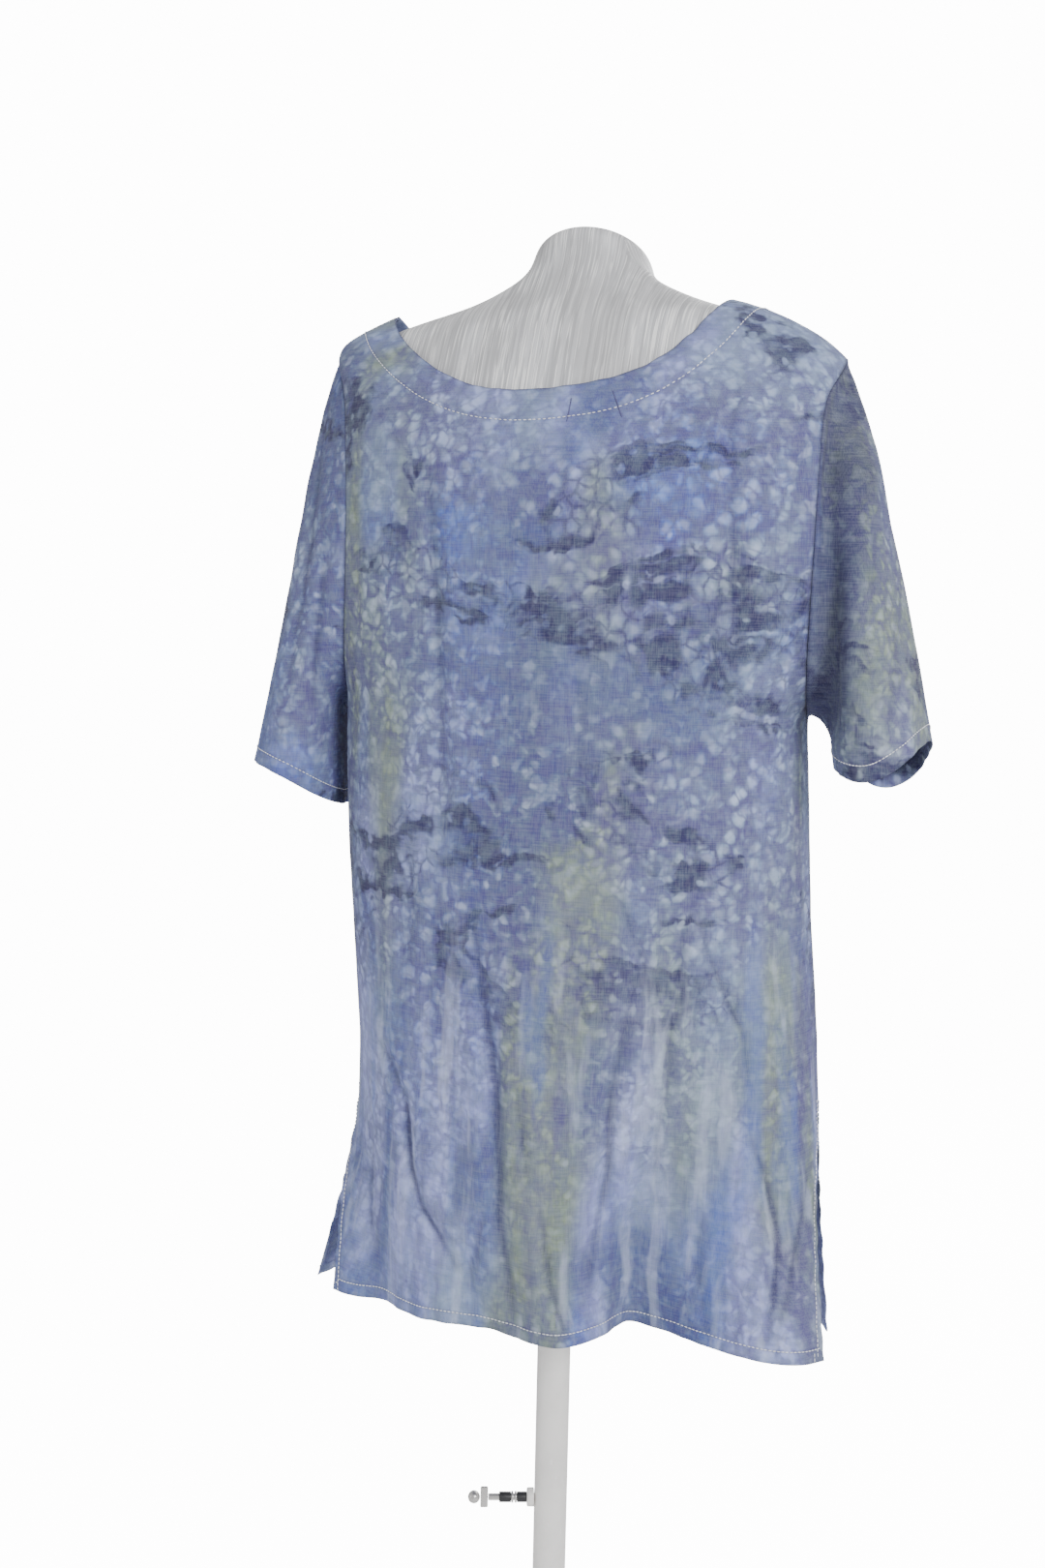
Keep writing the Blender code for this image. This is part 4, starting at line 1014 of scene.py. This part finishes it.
pale_thread = thread_finish("pale_thread", THREAD)
dark_thread = thread_finish("dark_thread", VIOLET)
stitches = {}
for node, piece in cloth.items():
    if node == "neck_facing":
        continue
    sheet = bmesh.new()
    sheet.from_mesh(piece.data)
    sheet_tree = BVHTree.FromBMesh(sheet)
    rows = []
    for kind, run in borders(node, sheet):
        if kind in STITCH_ROW:
            rows.append(row_inside(sheet_tree, run, STITCH_ROW[kind]))
    sheet.free()
    stitches[node] = [sew(node + "_stitches", rows)]
    stitches[node][0].data.materials.append(pale_thread)
    if node == "tunic_back":
        stitches[node].append(sew("facing_joins", [join_row(sheet_tree, route) for route in JOINS]))
        stitches[node][1].data.materials.append(dark_thread)
    print(node, "has", sum(len(row) for row in rows), "stitches in", len(rows), "rows")

# %% [markdown]
# ## The torso's skin
#
# The shell is moulded plastic with a metallic foil that was brushed from top to bottom.  Long thin
# noises, stretched upright, give the light and dark strokes, and a slow one the cloudy sheen.

# %% Paint the torso and the stand
FOIL_DARK = linear(186, 187, 191)
FOIL_LIGHT = linear(222, 223, 227)
FOIL_CLOUD = linear(168, 167, 168)
FOIL_STROKE = linear(255, 255, 255)


def brushed_silver():
    """Foil brushed from top to bottom; a stroke's width runs along X in front and along Y at the sides."""
    skin = Recipe("brushed_silver")
    facing = skin.tree.nodes.new("ShaderNodeNewGeometry").outputs["Normal"]
    aslant = skin.sum("ABSOLUTE", skin.axis("X", facing), 0.0)
    sideways = skin.range(aslant, 0.62, 0.82)

    def brushed(across, along, up, *grain):
        """Long thin strokes, across X in front and across Y at the sides."""
        ways = ((across, along, up), (along, across, up))
        return skin.mix(sideways, *[skin.noise(skin.moved(scale=way), 1.0, *grain) for way in ways])

    strokes = brushed(820.0, 6.0, 26.0, 1.0, 0.5)
    lines = brushed(420.0, 4.0, 5.0, 2.0, 0.6)
    clouds = skin.noise(skin.moved(scale=(1.0, 1.0, 0.5)), 15.0, 3.0, 0.55)
    skin.colour = skin.mix(skin.range(lines, 0.36, 0.62), FOIL_DARK, FOIL_LIGHT)
    skin.lay(skin.range(clouds, 0.38, 0.62, 0.45, 0.0), FOIL_CLOUD)
    bright = skin.times(skin.range(strokes, 0.54, 0.62), skin.range(clouds, 0.36, 0.58, 0.35, 1.0))
    skin.lay(bright, FOIL_STROKE)
    skin.bump(strokes, 0.0005, 0.35)
    rough = skin.range(strokes, 0.3, 0.7, 0.46, 0.30)
    return skin.finish(rough, Metallic=0.30, Specular_IOR_Level=0.5)


def paint(name, colour, roughness, metallic=0.0, grain=0.00015, flecks=0.10):
    """A plain finish with a fine orange-peel, faint clouds and rubbed spots."""
    coat = Recipe(name)
    peel = coat.noise(coat.place, 900.0, 2.0, 0.5)
    dust = coat.noise(coat.place, 26.0, 4.0, 0.6)
    darker = tuple(channel * 0.86 for channel in colour[:3]) + (1.0,)
    coat.colour = coat.mix(coat.range(dust, 0.35, 0.70, 0.0, 0.6), colour, darker)
    rubbed = coat.noise(coat.moved(scale=(1.0, 1.0, 0.4)), 130.0, 3.0, 0.7)
    lighter = tuple(min(1.0, channel * 1.12 + 0.01) for channel in colour[:3]) + (1.0,)
    coat.lay(coat.range(rubbed, 0.62, 0.72, 0.0, flecks * 5), lighter)
    coat.bump(peel, grain, 0.4)
    rough = coat.range(dust, 0.3, 0.7, roughness * 0.88, min(1.0, roughness * 1.12))
    return coat.finish(rough, Metallic=metallic)


silver = brushed_silver()
torso.data.materials.append(silver)
FINISHES = {
    "pole_paint": paint("pole_paint", linear(244, 242, 239), 0.42),
    "base_paint": paint("base_paint", linear(240, 238, 235), 0.46),
    "black_plastic": paint("black_plastic", linear(38, 38, 42), 0.50),
    "bright_chrome": paint("bright_chrome", linear(206, 204, 202), 0.26, 0.75, 0.00003, 0.02),
    "rod_steel": paint("rod_steel", linear(176, 176, 180), 0.32, 1.0, 0.00006),
    "form_board": paint("form_board", linear(120, 120, 124), 0.70, 0.0, 0.0004),
}
slot_of = {part["node"]: part["material_slot"] for part in frame["record"]["subparts"]}
for name, slot in slot_of.items():
    if slot in FINISHES:
        NODES[name].data.materials.clear()
        NODES[name].data.materials.append(FINISHES[slot])

# %% [markdown]
# ## The turned pieces of the stand
#
# Pole, base, collar and most of the clamp screw are turned on a lathe, so they are bodies of revolution.
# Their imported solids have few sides.  Cutting a solid in half through its axis gives its outline, and
# spinning that outline again in many more steps gives the round piece, at exactly the same size.  The
# outline's corners are bevelled first, because no real edge is a knife's.

# %% Turn them again in finer steps
FINE_STEPS = 96
SOFT_EDGE = 0.0004
STRAIGHT = math.radians(1.0)
UPRIGHT = Matrix.Identity(4)
joints = {joint["name"]: joint for joint in frame["record"]["behaviour"]["joints"]}
screw = joints["clamp_turn"]
SCREW_TURN = Vector(screw["axis"]).to_track_quat("Z", "Y").to_matrix().to_4x4()
SCREW_AXIS = Matrix.Translation(screw["pos_m"]) @ SCREW_TURN
TURNED = {
    UPRIGHT.freeze(): ("pole", "base_plate", "base_flange", "pole_collar", "rod", "rod_socket"),
    SCREW_AXIS.freeze(): (
        "screw_boss", "screw_shaft", "screw_grip_1", "screw_grip_2", "screw_ring_1", "screw_ring_2",
    ),
}
body_of = {name: body for body, names in frame["record"]["behaviour"]["bodies"].items() for name in names}


def stand_for(name, made):
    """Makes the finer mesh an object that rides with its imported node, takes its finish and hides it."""
    piece = put_in_scene(name + "_round", made)
    piece.data.shade_smooth()
    piece.data.set_sharp_from_angle(angle=math.radians(32.0))
    piece.data.materials.append(FINISHES[slot_of[name]])
    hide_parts(name)
    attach(piece, body_of[name])
    return piece


def turned_again(name, axis):
    """The piece spun anew from its own half section."""
    lathe = bmesh.new()
    lathe.from_mesh(NODES[name].data)
    bmesh.ops.remove_doubles(lathe, verts=lathe.verts, dist=MERGE)
    lathe.transform(axis.inverted())
    widest = max(lathe.verts, key=lambda vert: vert.co.xy.length).co
    turn = Matrix.Rotation(-math.atan2(widest.y, widest.x), 4, "Z")
    lathe.transform(turn)
    for normal, both in (((1.0, 0.0, 0.0), False), ((0.0, 1.0, 0.0), True)):
        bmesh.ops.bisect_plane(
            lathe, geom=lathe.verts[:] + lathe.edges[:] + lathe.faces[:], dist=1e-6,
            plane_co=(0.0, 0.0, 0.0), plane_no=normal, clear_inner=True, clear_outer=both
        )
    bmesh.ops.dissolve_limit(lathe, angle_limit=STRAIGHT, verts=lathe.verts[:], edges=lathe.edges[:])
    outline = [vert for vert in lathe.verts if vert.co.x > SOFT_EDGE and len(vert.link_edges) == 2]
    bmesh.ops.bevel(
        lathe, geom=outline, offset=SOFT_EDGE, offset_type="OFFSET", segments=3, profile=0.5,
        affect="VERTICES", clamp_overlap=True, material=-1
    )
    bmesh.ops.spin(
        lathe, geom=lathe.verts[:] + lathe.edges[:], cent=(0.0, 0.0, 0.0), axis=(0.0, 0.0, 1.0),
        dvec=(0.0, 0.0, 0.0), angle=math.tau, steps=FINE_STEPS, use_merge=True
    )
    bmesh.ops.remove_doubles(lathe, verts=lathe.verts, dist=1e-6)
    bmesh.ops.recalc_face_normals(lathe, faces=lathe.faces)
    lathe.transform(axis @ turn.inverted())
    return stand_for(name, lathe)


for axis, names in TURNED.items():
    for name in names:
        piece = turned_again(name, axis)
        check = bmesh.new()
        check.from_mesh(piece.data)
        gaps = sum(not edge.is_manifold for edge in check.edges)
        volume = round(check.calc_volume() * 1e6, 2)
        print(piece.name, len(check.faces), "faces, open edges:", gaps, "volume", volume, "cm3")
        check.free()

low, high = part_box("screw_ball")
ball = bmesh.new()
bmesh.ops.create_uvsphere(
    ball, u_segments=48, v_segments=24, radius=(high[2] - low[2]) / 2,
    matrix=Matrix.Translation((Vector(low) + Vector(high)) / 2)
)
stand_for("screw_ball", ball)

# %% [markdown]
# ## The bounds
#
# The box around every shown piece but the backdrop, from its lowest to its highest corner.

low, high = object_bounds()
